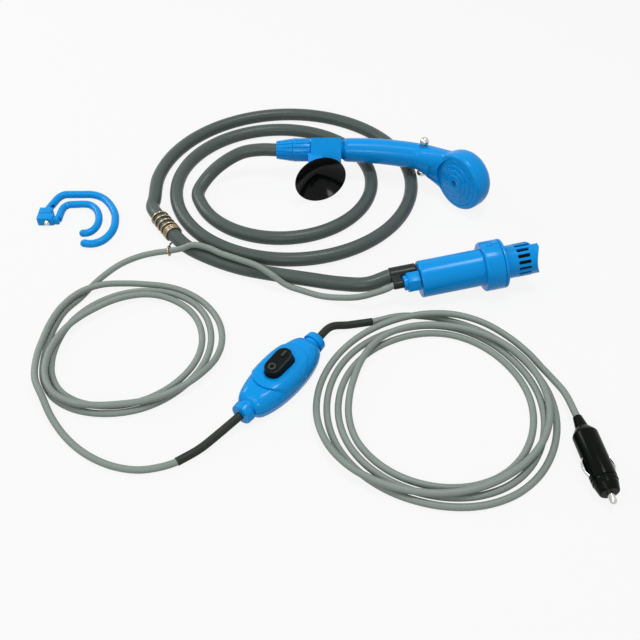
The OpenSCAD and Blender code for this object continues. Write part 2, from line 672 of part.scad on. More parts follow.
rim_top = cover_top + rim_h;
rim_sizes = [[0.9, 0.9, switch_base_h + 2], [0.99, 0.99, switch_base_h + 5], [0.95, 0.93, switch_base_h + 8.6],
    [0.87, 0.8, cover_top + 0.4], [0.8, 0.68, rim_top]];
pivot_z = switch_base_h + 6;
rocker_room = 1.9;
module slot_shape(l, w, h) {
    translate([-(l - w) / 2, -w / 2, 0]) cube([l - w, w, h]);
    for (x = [-1, 1]) translate([x * (l - w) / 2, 0, 0]) cylinder(d = w, h = h);
}
module cord_way() {
    for (x = [-1, 1]) translate([x * switch_l / 2, 0, ferrule_z]) rotate([0, 90, 0])
        translate([0, 0, -8]) cylinder(r = ferrule_r - 2 + slip, h = 16);
}
module switch_base() {
    color(blue) switch_frame() difference() {
        union() {
            difference() {
                skin(shell_rings(base_sizes, 0));
                skin(shell_rings(base_hollow, switch_wall));
            }
            for (x = [-1, 1]) translate([x * screw_x, 0, 1]) cylinder(r = post_r, h = switch_base_h - 1);
        }
        for (x = [-1, 1]) translate([x * screw_x, 0, -1]) {
            cylinder(r = screw_r + slip, h = switch_base_h + 2);
            cylinder(r = screw_head_r + slip, h = screw_pocket + 1);
        }
        cord_way();
    }
}
module switch_cover() {
    color(blue) switch_frame() difference() {
        union() {
            difference() {
                union() {
                    skin(shell_rings(cover_sizes, 0));
                    intersection() {
                        skin(shell_rings(rim_sizes, 0));
                        linear_extrude(rim_top + 1) polygon([for (k = [0:oval_points - 1])
                            [rim_l / 2 * cos(360 * k / oval_points), rim_w / 2 * sin(360 * k / oval_points)]]);
                    }
                }
                skin(shell_rings(cover_hollow, switch_wall));
            }
            for (x = [-1, 1]) translate([x * screw_x, 0, switch_base_h])
                cylinder(r = post_r, h = switch_cover_h - switch_wall + 0.5);
        }
        translate([0, 0, switch_base_h + 1])
            slot_shape(rocker_l + 2 * rocker_room, rocker_w + 2 * body_gap, switch_cover_h + rim_h);
        for (x = [-1, 1]) translate([x * screw_x, 0, switch_base_h - 1]) cylinder(r = screw_r, h = 6);
        cord_way();
    }
}
module switch_ferrules() {
    color(blue) switch_frame() for (k = [0, 1]) rotate([0, 0, 180 * k])
        translate([switch_l / 2 - 6, 0, ferrule_z]) rotate([0, 90, 0]) {
            cylinder(r = ferrule_r - 2, h = 7);
            translate([0, 0, 6.2]) cylinder(r1 = ferrule_r, r2 = ferrule_r - 0.6, h = ferrule_l - 2.2);
        }
}
rocker_h = 11.5;
rocker_low = rim_top - 2.5;
rocker_web = 6;
ear_t = 2.4;
module rocker() {
    color(black) switch_frame() translate([0, 0, pivot_z]) rotate([0, -rocker_swing / 2, 0])
        translate([0, 0, -pivot_z]) difference() {
            union() {
                translate([0, 0, rocker_low]) slot_shape(rocker_l, rocker_w, rocker_h);
                translate([-4, -rocker_web / 2, pivot_z - 3]) cube([8, rocker_web, rocker_low - pivot_z + 4]);
            }
            translate([0, rocker_web, pivot_z]) rotate([90, 0, 0])
                cylinder(r = screw_r + run_gap, h = 2 * rocker_web);
            translate([0, 0, rocker_low + rocker_h + 45]) rotate([90, 0, 0]) translate([0, 0, -rocker_w])
                cylinder(r = 46, h = 2 * rocker_w, $fn = 128);
        }
}
module rocker_pin() {
    color(steel) switch_frame() translate([0, rocker_web / 2 + body_gap + ear_t, pivot_z]) rotate([90, 0, 0])
        cylinder(r = screw_r, h = rocker_web + 2 * body_gap + 2 * ear_t);
}
block_l = 28;
module contact_block() {
    color("#3a3d42") switch_frame() difference() {
        union() {
            translate([-block_l / 2, -rocker_w / 2, switch_wall + eps])
                cube([block_l, rocker_w, pivot_z - 5 - switch_wall]);
            for (y = [-1, 1]) translate([-4, y * (rocker_web / 2 + body_gap + ear_t / 2) - ear_t / 2, switch_wall + 1])
                cube([8, ear_t, pivot_z + 2.4 - switch_wall - 1]);
        }
        translate([0, rocker_w, pivot_z]) rotate([90, 0, 0]) cylinder(r = screw_r, h = 2 * rocker_w);
    }
}
module cover_screws() {
    color(steel) switch_frame() for (x = [-1, 1]) translate([x * screw_x, 0, screw_pocket - screw_head_h]) {
        cylinder(r = screw_head_r, h = screw_head_h);
        cylinder(r = screw_r, h = switch_base_h + 4 - screw_pocket + screw_head_h);
    }
}

// Plug, along its axis from the cable
plug_r = plug_d / 2;
shoulder_l = 6;
barrel_s = plug_boot_l;
barrel_end = barrel_s + shoulder_l + plug_l;
thread_l = 4.2;
nose_s = barrel_end + 0.4;
nose_end = nose_s + plug_nose_l;
guide_r = plug_r - 0.2;
guide_l = 3;
tip_r = tip_d / 2;
tip_out = 9.5;
barrel_wall = 2.4;
barrel_in_r = plug_r - barrel_wall;
fuse_r = 3.1;
fuse_l = 30;
seat_s = barrel_s + shoulder_l + 4;
nose_lip = 2.4;
tip_flange_r = tip_r + 1.7;
tip_flange_t = 1.6;
tip_s = nose_end - nose_lip - tip_flange_t - body_gap;
contact_w = 3;
contact_t = 0.8;
contact_l = 17;
contact_s = barrel_end - contact_l - 4;
module plug_boot() {
    color(black) plug_frame() {
        cylinder(r1 = cable_r + 0.8, r2 = cable_r + 2.6, h = plug_boot_l);
        translate([0, 0, plug_boot_l]) cylinder(r = cable_r + 0.6, h = 3);
    }
}
module plug_barrel() {
    color(black) plug_frame() difference() {
        union() {
            translate([0, 0, barrel_s]) cylinder(r1 = cable_r + 3.4, r2 = plug_r, h = shoulder_l);
            translate([0, 0, barrel_s + shoulder_l]) cylinder(r = plug_r, h = plug_l);
            translate([0, 0, barrel_end - 1]) cylinder(r = plug_r - 2, h = thread_l + 1);
        }
        translate([0, 0, seat_s]) cylinder(r = fuse_r + 0.6, h = plug_l + thread_l);
        translate([0, 0, barrel_s - 1]) cylinder(r = cable_r + 0.6 + eps, h = 4.2);
        translate([0, 0, barrel_s + 1]) cylinder(r = 1.2, h = shoulder_l + 4);
        for (k = [0, 1]) rotate([0, 0, 180 * k]) translate([-contact_w / 2 - body_gap, fuse_r + 1.8, contact_s - 1])
            cube([contact_w + 2 * body_gap, plug_r, contact_l + 2]);
    }
}
module plug_nose() {
    color(black) plug_frame() difference() {
        union() {
            translate([0, 0, nose_s]) cylinder(r = guide_r, h = guide_l);
            translate([0, 0, nose_s]) cylinder(r = plug_r - 1, h = 5.5);
            translate([0, 0, nose_s + 5.5]) cylinder(r1 = plug_r - 1, r2 = plug_r - 2.6, h = plug_nose_l - 5.5);
        }
        translate([0, 0, nose_s - 1]) cylinder(r = plug_r - 2 + slip, h = thread_l + 0.8);
        translate([0, 0, nose_s]) cylinder(r = tip_flange_r + 0.4, h = plug_nose_l - nose_lip);
        translate([0, 0, nose_s]) cylinder(r = tip_r + run_gap, h = plug_nose_l + 1);
    }
}
module plug_tip() {
    color(steel) plug_frame() translate([0, 0, tip_s]) rotate_extrude() {
        polygon([[0, 0], [tip_flange_r, 0], [tip_flange_r, tip_flange_t], [tip_r, tip_flange_t],
            [tip_r, tip_flange_t + nose_lip + tip_out - tip_r], [0, tip_flange_t + nose_lip + tip_out - tip_r]]);
        translate([0, tip_flange_t + nose_lip + tip_out - tip_r]) intersection() {
            circle(r = tip_r);
            square(tip_r);
        }
    }
}
spring_wire_d = 0.7;
spring_turns = 4;
spring_r = fuse_r - 0.5;
fuse_s = seat_s + 0.2;
fuse_end = fuse_s + fuse_l;
spring_s = fuse_end + spring_wire_d / 2 + 0.1;
spring_end = tip_s - tip_stroke - spring_wire_d / 2 - body_gap;
function spring_point(t) =
    [spring_r * cos(360 * t), spring_r * sin(360 * t), spring_s + (spring_end - spring_s) * t / spring_turns];
spring_path = [for (i = [0:spring_turns * curl_rings]) spring_point(i / curl_rings)];
echo(spring_gap = self_gap(spring_path, spring_wire_d, 4));
module tip_spring() {
    color(steel) plug_frame() skin([for (i = [0:len(spring_path) - 1])
        wire_ring(spring_path[i], path_way(spring_path, i), [0, 0, 1], spring_wire_d, 6)]);
}
module fuse() {
    color("#dfe8ea") plug_frame() translate([0, 0, fuse_s]) {
        cylinder(r = fuse_r - 0.3, h = fuse_l);
        cylinder(r = fuse_r, h = 6);
        translate([0, 0, fuse_l - 6]) cylinder(r = fuse_r, h = 6);
    }
}
contact_bow_r = (side_rise * side_rise + contact_l * contact_l / 4) / 2 / side_rise;
module side_contact() {
    intersection() {
        translate([-contact_w / 2, plug_r + side_rise - contact_bow_r, contact_s + contact_l / 2]) rotate([0, 90, 0])
            ring(contact_bow_r, contact_bow_r - contact_t, contact_w);
        translate([-contact_w / 2, plug_r - 0.6, contact_s]) cube([contact_w, 2 * side_rise, contact_l]);
    }
}
module left_contact() { color(steel) plug_frame() side_contact(); }
module right_contact() { color(steel) plug_frame() rotate([0, 0, 180]) side_contact(); }

// Handset, along its handle from the hose nut
handle_r = handle_d / 2;
head_r = head_d / 2;
spigot_s = 5;
flute_l = 18;
flute_r = handle_r - 0.2;
flute_count = 16;
journal_s = hose_nut_l + flute_l;
journal_l = holder_l + 4;
journal_r = handle_r - 3;
grip_s = journal_s + journal_l;
grip_swell = 1.5;
grip_lip = 0.15;
grip_sides = 40;
neck_r = handle_r + grip_swell;
neck_l = 4;
// Fall of the handle's axis towards the face, past the straight part
bend_rate = 0.0018;
function bend_y(s) = -bend_rate * pow(max(s - grip_s, 0), 2);
neck_y = bend_y(handle_l);
face_s = handle_l + 30.4;
face_y = neck_y - 44.7;
face_turn = 142;
rose_r = rose_d / 2;
rose_t = 3;
rose_room = 14;
chamber_depth = 11;
water_r = 5;
channel_r = water_r - 1.2;
insert_r = hose_r - 2.2;
nut_small_r = hose_r + 2.4;
nut_big_r = flute_r - 0.3;
grip_points = 12;
function grip_ring(r, s) = [for (k = [0:grip_sides - 1]) let (a = -360 * k / grip_sides)
    [r * cos(a), bend_y(s) + r * sin(a), s]];
grip_rings = concat([for (i = [0:grip_points]) let (f = i / grip_points)
    grip_ring(handle_r + grip_lip + (grip_swell - grip_lip) * sin(90 * f), grip_s + (handle_l - grip_s) * f)],
    [grip_ring(neck_r - 0.4, handle_l + neck_l)]);
water_path = [for (i = [0:grip_points]) let (s = grip_s - 1 + (handle_l + neck_l - grip_s) * i / grip_points)
    [0, bend_y(s), s]];
channel_turn = 44;
channel_l = 34;
module face_frame() { translate([0, face_y, face_s]) rotate([face_turn, 0, 0]) children(); }
dome_r = 15;
module head_dome() {
    rotate_extrude() polygon(concat([[0, 0], [head_r - 2, 0], [head_r, -2.5], [head_r, -head_depth + dome_r]],
        [for (i = [1:8]) [head_r - dome_r + dome_r * cos(90 * i / 8),
            -head_depth + dome_r - dome_r * sin(90 * i / 8)]], [[0, -head_depth]]));
}
module fluted(r1, r2, h, count, cut) {
    difference() {
        cylinder(r1 = r1, r2 = r2, h = h);
        for (k = [0:count - 1]) rotate([0, 0, 360 * k / count]) translate([r1, 0, -1])
            rotate([0, atan2(r2 - r1, h), 0]) cylinder(r = cut, h = h + 3, $fn = 16);
    }
}
stud_s = handle_l;
stud_shank_r = 2;
stud_shank_l = 6;
stud_neck = 2.1;
module handset_body() {
    color(blue) handset_frame() difference() {
        union() {
            translate([0, 0, spigot_s]) cylinder(r = nut_small_r - 1.4, h = hose_nut_l - spigot_s + 1);
            translate([0, 0, hose_nut_l]) fluted(flute_r, flute_r, flute_l, flute_count, 0.9);
            translate([0, 0, journal_s - 1]) cylinder(r = journal_r, h = journal_l + 2);
            skin(grip_rings);
            hull() {
                translate([0, neck_y, handle_l]) sphere(r = neck_r, $fn = 32);
                face_frame() translate([0, 0, -head_depth + 3]) cylinder(r = head_r - 12, h = 8, $fn = 32);
                face_frame() translate([0, 0, -13]) cylinder(r = head_r - 3.5, h = 6, $fn = 32);
            }
            face_frame() head_dome();
        }
        translate([0, 0, spigot_s - 1]) cylinder(r = insert_r + slip, h = hose_nut_l - spigot_s + 3);
        translate([0, 0, spigot_s - 1]) cylinder(r = channel_r, h = grip_s + 1 - spigot_s);
        tube(water_path, path_ways(water_path), 2 * channel_r + 0.1, 16);
        translate([0, neck_y, handle_l + 1]) rotate([channel_turn, 0, 0]) cylinder(r = channel_r + 0.2, h = channel_l);
        face_frame() translate([0, 0, -rose_t]) cylinder(r = rose_r + slip, h = rose_t + rose_room);
        face_frame() translate([0, 0, -chamber_depth]) difference() {
            cylinder(r = rose_r - 2.4, h = chamber_depth);
            translate([0, 0, -1]) cylinder(r = 4, h = chamber_depth - rose_t + 1);
        }
        face_frame() translate([0, 0, -chamber_depth - 4]) cylinder(r = 1.5, h = chamber_depth + 4);
        for (k = [-1, 1]) translate([k * (neck_r + 2), neck_y, stud_s]) rotate([0, -90 * k, 0])
            cylinder(r = stud_shank_r, h = stud_shank_l + 2);
    }
}
module ball_studs() {
    color(steel) handset_frame() for (k = [-1, 1])
        translate([k * (neck_r - stud_shank_l + 0.5), neck_y, stud_s]) rotate([0, 90 * k, 0]) {
            cylinder(r = stud_shank_r, h = stud_shank_l + stud_neck);
            translate([0, 0, stud_shank_l + stud_neck + ball_d / 2 - 1.4]) sphere(d = ball_d);
        }
}
module hose_nut() {
    color(blue) handset_frame() difference() {
        fluted(nut_small_r, nut_big_r, hose_nut_l - 0.3, flute_count, 0.7);
        translate([0, 0, spigot_s - 0.4]) cylinder(r = nut_small_r - 1.4 + slip, h = hose_nut_l);
        translate([0, 0, -1]) cylinder(r = insert_r + slip, h = hose_nut_l);
    }
}
module hose_insert() {
    color("#d8d8d2") handset_frame() translate([0, 0, 0.1]) ring(insert_r, water_r - 1.6, hose_nut_l - 0.4);
}
rose_screw_r = 1.5;
crown_r = 9;
ring_step = (rose_r - crown_r) / (rose_rings - 1);
ring_rise = 0.9;
screw_seat = 0.8;
screw_well_r = 3.6;
nozzle_r = 0.6;
module rose_plate() {
    color(blue) handset_frame() face_frame() difference() {
        for (k = [0:rose_rings - 1]) translate([0, 0, -rose_t])
            cylinder(r = rose_r - ring_step * k, h = rose_t + 0.2 + ring_rise * k);
        translate([0, 0, -rose_t - 1]) cylinder(r = rose_screw_r + slip, h = rose_t + 2);
        translate([0, 0, -screw_seat]) cylinder(r = screw_well_r, h = ring_rise * rose_rings + 3);
        for (k = [0:rose_rings - 2]) let (r = rose_r - ring_step * (k + 0.5), count = 6 + 5 * (rose_rings - 2 - k))
            for (i = [0:count - 1]) rotate([0, 0, 360 * i / count]) translate([r, 0, -rose_t - 1])
                cylinder(r = nozzle_r, h = rose_t + 2 + ring_rise * rose_rings, $fn = 16);
    }
}
gasket_t = 1;
module rose_gasket() {
    color("#202020") handset_frame() face_frame() translate([0, 0, -rose_t - gasket_t - eps])
        ring(rose_r - 2.5, rose_r - 4.6, gasket_t);
}
module rose_screw() {
    color(steel) handset_frame() face_frame() {
        translate([0, 0, -0.78]) cylinder(r = 2.7, h = 1.4);
        translate([0, 0, -chamber_depth - 3]) cylinder(r = rose_screw_r, h = chamber_depth + 3);
    }
}
holder_bore_r = journal_r + body_gap;
holder_r = holder_bore_r + holder_wall;
holder_s = journal_s + 1;
holder_mid = holder_s + holder_l / 2;
cup_r = cup_d / 2;
cup_drop = handset_start.z - cup_r - 0.4;
cup_base = holder_r + 20.2;
cup_shift = -19.4;
cup_wall = 1.8;
boss_w = 18;
boss_out = 14;
boss_over = 2.5;
holder_edge = [[-holder_r - 5.5, -3.7], [1.2, -holder_r - 12], [holder_r + 1.2, -holder_r - 12],
    [holder_r + 1.2, -3], [holder_r - 1, 3], [-holder_r + 1, 3]];
cup_stud_r = 5;
module cup_frame() {
    translate([cup_drop, 0, holder_mid + cup_shift]) rotate([90 - cup_turn, 0, 0]) children();
}
module holder_clip() {
    color(blue) handset_frame() difference() {
        union() {
            translate([0, 0, holder_s]) linear_extrude(holder_l) polygon(holder_edge);
            translate([0, 0, holder_s]) cylinder(r = holder_r, h = holder_l);
            intersection() {
                cup_frame() translate([-boss_w / 2, -boss_w / 2, 8]) cube([boss_w, boss_w, cup_base - 8]);
                translate([-60, -60 - boss_out, holder_s - boss_over]) cube([120, 60, 120]);
            }
        }
        translate([0, 0, holder_s - 1]) cylinder(r = holder_bore_r, h = holder_l + 2);
        translate([-holder_bore_r + 4, 4, holder_s - 1])
            cube([2 * holder_bore_r - 8, holder_r, holder_l + 2]);
        cup_frame() translate([0, 0, cup_base - 4]) cylinder(r = cup_stud_r + eps, h = 10);
    }
}
function cup_curve(r0, d0, count) = [for (i = [0:count])
    [7 + (r0 - 7) * sin(90 * i / count), d0 * (1 - cos(90 * i / count))]];
module suction_cup() {
    color(black) handset_frame() cup_frame() translate([0, 0, cup_base]) rotate_extrude() {
        polygon(concat([[0, 0]], cup_curve(cup_r, cup_depth, 10),
            [for (p = [for (i = [10:-1:0]) cup_curve(cup_r - cup_wall, cup_depth - 4, 10)[i]])
                [max(p.x - 0.2, 0), p.y + 4]], [[0, 4]]));
        translate([0, -3.8]) square([cup_stud_r, 4]);
    }
}

// Folding hook: two hooks whose lugs stand side by side on one pin
outer_bend = [[-3.3, 5], [-3.2, 12.8], [0.1, 23.8], [3.4, 32.4], [8.2, 36.8], [16.6, 37.4], [26.9, 37.5],
    [36, 37.5], [44.6, 35], [53.1, 28.8], [61.4, 17.7], [67.4, 4.9], [69.5, -4.9], [70, -16.4],
    [67.7, -26.7], [63, -35.1], [57.2, -39.8], [50.7, -41.4], [44.2, -40.6]];
inner_bend = [[10.3, -3.5], [10.5, 3], [10.8, 9], [12.2, 15.8], [16.2, 20], [23.7, 20.9], [35.9, 20.9],
    [41.8, 17.7], [47.6, 10.8], [51.4, 0.9], [52.6, -7.8], [51.5, -15.4], [48.8, -21.1], [44.6, -24.6],
    [40, -25.3]];
lug_gap = 0.2;
lug_tall = 10;
lug_pin_z = lug_tall / 2;
outer_lug_x = [-10.4, 3.2];
inner_lug_x = [-10.3, 6.4];
lug_edge = 1.5;
lug_step = [5.4, 6.2, 8];
rod_z = outer_rod_d / 2;
bend_steps = 3;
function hook_path(list) = [for (i = [0:bend_steps * (len(list) - 1)]) let (p = pass_through(list, i / bend_steps))
    [p.x, p.y, rod_z]];
module hook_rod(list, d) {
    path = hook_path(list);
    tube(path, path_ways(path), d, 12);
    translate(path[len(path) - 1]) sphere(d = d * 0.99, $fn = 24);
}
module lug(ends, y) {
    translate([0, y + hook_lug_t, 0]) rotate([90, 0, 0]) linear_extrude(hook_lug_t)
        polygon([[ends[0], lug_edge], [ends[0] + lug_edge, 0], [ends[1] - lug_edge, 0], [ends[1], lug_edge],
            [ends[1], lug_tall - lug_edge], [ends[1] - lug_edge, lug_tall], [ends[0] + lug_edge, lug_tall],
            [ends[0], lug_tall - lug_edge]]);
}
module along_pin(y) { translate([0, y, lug_pin_z]) rotate([90, 0, 0]) children(); }
module pin_hole(gap) {
    along_pin(hook_lug_t + 1) cylinder(r = hook_pin_d / 2 + gap, h = 2 * hook_lug_t + 2);
}
module outer_hook() {
    color(blue) hook_frame() difference() {
        union() {
            hook_rod(outer_bend, outer_rod_d);
            lug(outer_lug_x, lug_gap);
        }
        pin_hole(0);
    }
}
module inner_hook() {
    color(blue) hook_frame() difference() {
        union() {
            hook_rod(inner_bend, inner_rod_d);
            lug(inner_lug_x, -lug_gap - hook_lug_t);
            translate([inner_lug_x[1] - 1, -lug_gap - hook_lug_t + 1, 0.4])
                cube([lug_step.x + 1, lug_step.y, lug_step.z]);
        }
        pin_hole(run_gap);
    }
}
module hook_pin() {
    color(steel) hook_frame() {
        along_pin(hook_lug_t - 1) cylinder(r = hook_pin_d / 2, h = 2 * hook_lug_t + lug_gap);
        along_pin(-2 * lug_gap - hook_lug_t) intersection() {
            translate([0, 0, 0.6]) sphere(r = hook_pin_d * 0.75);
            cylinder(r = hook_pin_d, h = hook_pin_d);
        }
    }
}

pump_casing();
motor_capsule();
capsule_cover();
motor_can();
motor_end_cap();
motor_magnets();
armature();
motor_shaft();
shaft_seal();
impeller();
inlet_plate();
strainer_cap();
filter_sleeve();
gland_nut();
gland_grommet();
cable_stub();
pump_boot();
hose_lead();
hose_coil();
hose_run();
hose_clip();
pump_lead();
left_coil();
switch_lead();
left_sleeve();
right_sleeve();
right_coil();
plug_lead();
switch_base();
switch_cover();
switch_ferrules();
rocker();
rocker_pin();
contact_block();
cover_screws();
plug_boot();
plug_barrel();
plug_nose();
plug_tip();
tip_spring();
fuse();
left_contact();
right_contact();
handset_body();
hose_nut();
hose_insert();
rose_plate();
rose_gasket();
rose_screw();
ball_studs();
holder_clip();
suction_cup();
outer_hook();
inner_hook();
hook_pin();
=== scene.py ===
"""Portable 12 V camp shower kit: the dressed model on the frame of its CAD parts.

Each sub-assembly is a dataclass that holds its sizes in millimetres and builds its own pieces. Lengths are
millimetres in a sub-assembly's own axes until a piece settles, which puts it in the row frame in metres.
"""

from __future__ import annotations

import json
import logging
import math
from dataclasses import dataclass, field
from enum import Enum
from typing import Iterable, Sequence

import bmesh
import bpy
from mathutils import Matrix, Vector

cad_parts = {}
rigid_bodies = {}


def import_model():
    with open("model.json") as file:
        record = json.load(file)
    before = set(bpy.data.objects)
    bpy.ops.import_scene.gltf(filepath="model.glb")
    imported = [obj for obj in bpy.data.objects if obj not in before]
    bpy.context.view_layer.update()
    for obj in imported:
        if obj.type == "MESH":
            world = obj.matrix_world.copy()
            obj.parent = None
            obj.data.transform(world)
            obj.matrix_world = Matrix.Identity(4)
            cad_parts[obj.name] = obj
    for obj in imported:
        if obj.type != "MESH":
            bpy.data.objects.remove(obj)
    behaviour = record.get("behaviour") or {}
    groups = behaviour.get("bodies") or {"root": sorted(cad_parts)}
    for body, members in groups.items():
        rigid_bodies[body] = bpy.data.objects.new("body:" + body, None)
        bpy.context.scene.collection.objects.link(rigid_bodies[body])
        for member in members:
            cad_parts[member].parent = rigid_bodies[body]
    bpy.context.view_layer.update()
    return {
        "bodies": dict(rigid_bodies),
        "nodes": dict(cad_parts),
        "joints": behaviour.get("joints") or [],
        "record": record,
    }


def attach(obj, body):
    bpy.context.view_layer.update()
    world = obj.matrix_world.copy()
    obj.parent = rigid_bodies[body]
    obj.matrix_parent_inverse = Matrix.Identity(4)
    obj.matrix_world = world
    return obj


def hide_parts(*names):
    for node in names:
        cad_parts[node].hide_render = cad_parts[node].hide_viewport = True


LOG = logging.getLogger("camp_shower")
MM = 0.001
LAYOUT_ZERO = Vector((41.783, -126.307, 0.0))
HANDSET_START = (-47.0, 222.5, 31.0)
GRAIN_DEPTH = 0.0004
MERGE = 1e-5
Point = Sequence[float]
Socket = str | int


class Body(str, Enum):
    """Bodies of the frame that pieces ride."""

    KIT = "kit"
    STRAINER = "strainer"
    ROCKER = "rocker"
    TIP = "plug_tip"
    LEFT_CONTACT = "left_contact"
    RIGHT_CONTACT = "right_contact"
    HOLDER = "holder"
    HOOK = "hook"
    INNER_HOOK = "inner_hook"


class Join(str, Enum):
    """How a second shape joins a first."""

    UNION = "UNION"
    DIFFERENCE = "DIFFERENCE"


# Finishes


def group_socket(tree: bpy.types.NodeTree, name: str, kind: str, out: bool = False,
                 value: object = None) -> bpy.types.NodeTreeInterfaceSocket:
    """Add one socket to a node group's interface.

    Args:
        tree: The group.
        name: Name of the socket.
        kind: Short socket type, such as "Float".
        out: True for an output.
        value: Default of an input.

    Returns:
        The interface socket.
    """
    socket = tree.interface.new_socket(
        name, in_out="OUTPUT" if out else "INPUT", socket_type=f"NodeSocket{kind}")
    if value is not None:
        socket.default_value = value
    return socket


def connect(tree: bpy.types.NodeTree, *joints: tuple[bpy.types.Node, Socket, bpy.types.Node, Socket]) -> None:
    """Link outputs of nodes to inputs of others.

    Args:
        tree: Tree of the nodes.
        joints: Node and output, then node and input, each socket by its name or number.
    """
    for source, out, target, into in joints:
        tree.links.new(source.outputs[out], target.inputs[into])


def moulded_surface() -> bpy.types.NodeTree:
    """Shader group of the fine unevenness that moulded and drawn surfaces have.

    Returns:
        The group, with outputs Color, Roughness and Height.
    """
    tree = bpy.data.node_groups.get("moulded_surface")
    if tree:
        return tree
    tree = bpy.data.node_groups.new("moulded_surface", "ShaderNodeTree")
    group_socket(tree, "Vector", "Vector")
    group_socket(tree, "Color", "Color", value=(0.5, 0.5, 0.5, 1.0))
    for name, value in (("Mottle", 0.1), ("Roughness", 0.4), ("Spread", 0.1),
                        ("Broad", 40.0), ("Fine", 1800.0)):
        group_socket(tree, name, "Float", value=value)
    for name, kind in (("Color", "Color"), ("Roughness", "Float"), ("Height", "Float")):
        group_socket(tree, name, kind, out=True)
    start, end = tree.nodes.new("NodeGroupInput"), tree.nodes.new("NodeGroupOutput")
    broad, fine, centred, tinted, shade, rough = (tree.nodes.new(f"ShaderNode{kind}") for kind in (
        "TexNoise", "TexNoise", "Math", "Math", "HueSaturation", "Math"))
    broad.inputs["Detail"].default_value = 4.0
    fine.inputs["Detail"].default_value = 2.0
    centred.operation, tinted.operation, rough.operation = "SUBTRACT", "MULTIPLY_ADD", "MULTIPLY_ADD"
    centred.inputs[1].default_value = 0.5
    tinted.inputs[2].default_value = 1.0
    connect(
        tree,
        (start, "Vector", broad, "Vector"), (start, "Broad", broad, "Scale"),
        (start, "Vector", fine, "Vector"), (start, "Fine", fine, "Scale"),
        (broad, "Fac", centred, 0), (centred, 0, tinted, 0), (start, "Mottle", tinted, 1),
        (tinted, 0, shade, "Value"), (start, "Color", shade, "Color"),
        (centred, 0, rough, 0), (start, "Spread", rough, 1), (start, "Roughness", rough, 2),
        (shade, "Color", end, "Color"), (rough, 0, end, "Roughness"), (fine, "Fac", end, "Height"))
    return tree


@dataclass(frozen=True)
class Finish:
    """Attributes:
        name: Name of the finish and of its slot.
        color: Linear base colour.
        roughness: Middle roughness.
        metallic: 0 for plastics and rubber, 1 for metals.
        mottle: Brightness change over some centimetres.
        spread: Roughness change over some centimetres.
        grain: Strength of the fine bump.
        fine: Grains per metre of the fine bump.
        gloss: Level of the mirror reflection.
        clear: Transmission weight.
        shared_slot: Slot of the record, where it isn't named like the material.
    """

    name: str
    color: tuple[float, float, float]
    roughness: float
    metallic: float = 0.0
    mottle: float = 0.12
    spread: float = 0.12
    grain: float = 0.04
    fine: float = 1600.0
    gloss: float = 0.5
    clear: float = 0.0
    shared_slot: str = ""

    @property
    def slot(self) -> str:
        """Slot of the record that the finish fills."""
        return self.shared_slot or self.name

    @property
    def label(self) -> str:
        """Name of the material, apart from the plain one that the frame brings along."""
        return f"dressed_{self.name}"

    def material(self) -> bpy.types.Material:
        """Material of the finish, made on the first call.

        Returns:
            The material.
        """
        found = bpy.data.materials.get(self.label)
        if found:
            return found
        material = bpy.data.materials.new(self.label)
        material.use_nodes = True
        tree = material.node_tree
        shader = tree.nodes["Principled BSDF"]
        for name, value in (("Metallic", self.metallic), ("Specular IOR Level", self.gloss),
                            ("Transmission Weight", self.clear)):
            shader.inputs[name].default_value = value
        place, surface, bump = (tree.nodes.new(f"ShaderNode{kind}") for kind in ("TexCoord", "Group", "Bump"))
        surface.node_tree = moulded_surface()
        for name, value in (("Color", (*self.color, 1.0)), ("Mottle", self.mottle), ("Spread", self.spread),
                            ("Roughness", self.roughness), ("Fine", self.fine)):
            surface.inputs[name].default_value = value
        bump.inputs["Strength"].default_value = self.grain
        bump.inputs["Distance"].default_value = GRAIN_DEPTH
        connect(
            tree,
            (place, "Object", surface, "Vector"), (surface, "Color", shader, "Base Color"),
            (surface, "Roughness", shader, "Roughness"), (surface, "Height", bump, "Height"),
            (bump, "Normal", shader, "Normal"))
        return material


BLUE = Finish("blue_plastic", (0.001, 0.262, 0.68), 0.2, mottle=0.06, gloss=0.13)
BLACK = Finish("black_plastic", (0.0018, 0.0034, 0.002), 0.15, gloss=0.07)
RUBBER = Finish("black_rubber", (0.001, 0.002, 0.0012), 0.13, gloss=0.12, grain=0.05)
SHRINK = Finish("heat_shrink", (0.016, 0.02, 0.018), 0.26, gloss=0.13, grain=0.05,
                shared_slot="black_rubber")
KEY_BLACK = Finish("rocker_plastic", (0.0035, 0.006, 0.006), 0.36, grain=0.08, gloss=0.07,
                   shared_slot="black_plastic")
# Painted sheen: the rocker's marks are the same black plastic as the rocker, and this lighter grey stands in
# for the sheen they catch.
MARK_PAINTED_SHEEN = Finish("rocker_mark", (0.035, 0.04, 0.038), 0.25, gloss=0.2, grain=0.05,
                   shared_slot="black_plastic")
HOSE_GREY = Finish("hose_rubber", (0.064, 0.084, 0.076), 0.34, mottle=0.2, grain=0.05, fine=900.0,
                   gloss=0.2)
CABLE_GREY = Finish("cable_sheath", (0.214, 0.252, 0.23), 0.4, mottle=0.15, grain=0.05, fine=1100.0,
                    gloss=0.2)
SLEEVE_GREY = Finish("sleeve_rubber", (0.024, 0.029, 0.0235), 0.45, mottle=0.2, gloss=0.12)
CHROME = Finish("chrome", (0.55, 0.54, 0.5), 0.14, metallic=1.0, mottle=0.03, spread=0.05, grain=0.01)
STEEL = Finish("steel", (0.55, 0.55, 0.54), 0.28, metallic=1.0, mottle=0.08)
BRONZE = Finish("bronze_wire", (0.36, 0.28, 0.18), 0.3, metallic=1.0, mottle=0.25)
COPPER = Finish("copper", (0.72, 0.35, 0.18), 0.3, metallic=1.0)
WHITE = Finish("white_plastic", (0.74, 0.74, 0.71), 0.4)
GLASS = Finish("fuse_glass", (0.85, 0.9, 0.91), 0.06, mottle=0.02, spread=0.02, grain=0.005, clear=0.9)


# Shapes


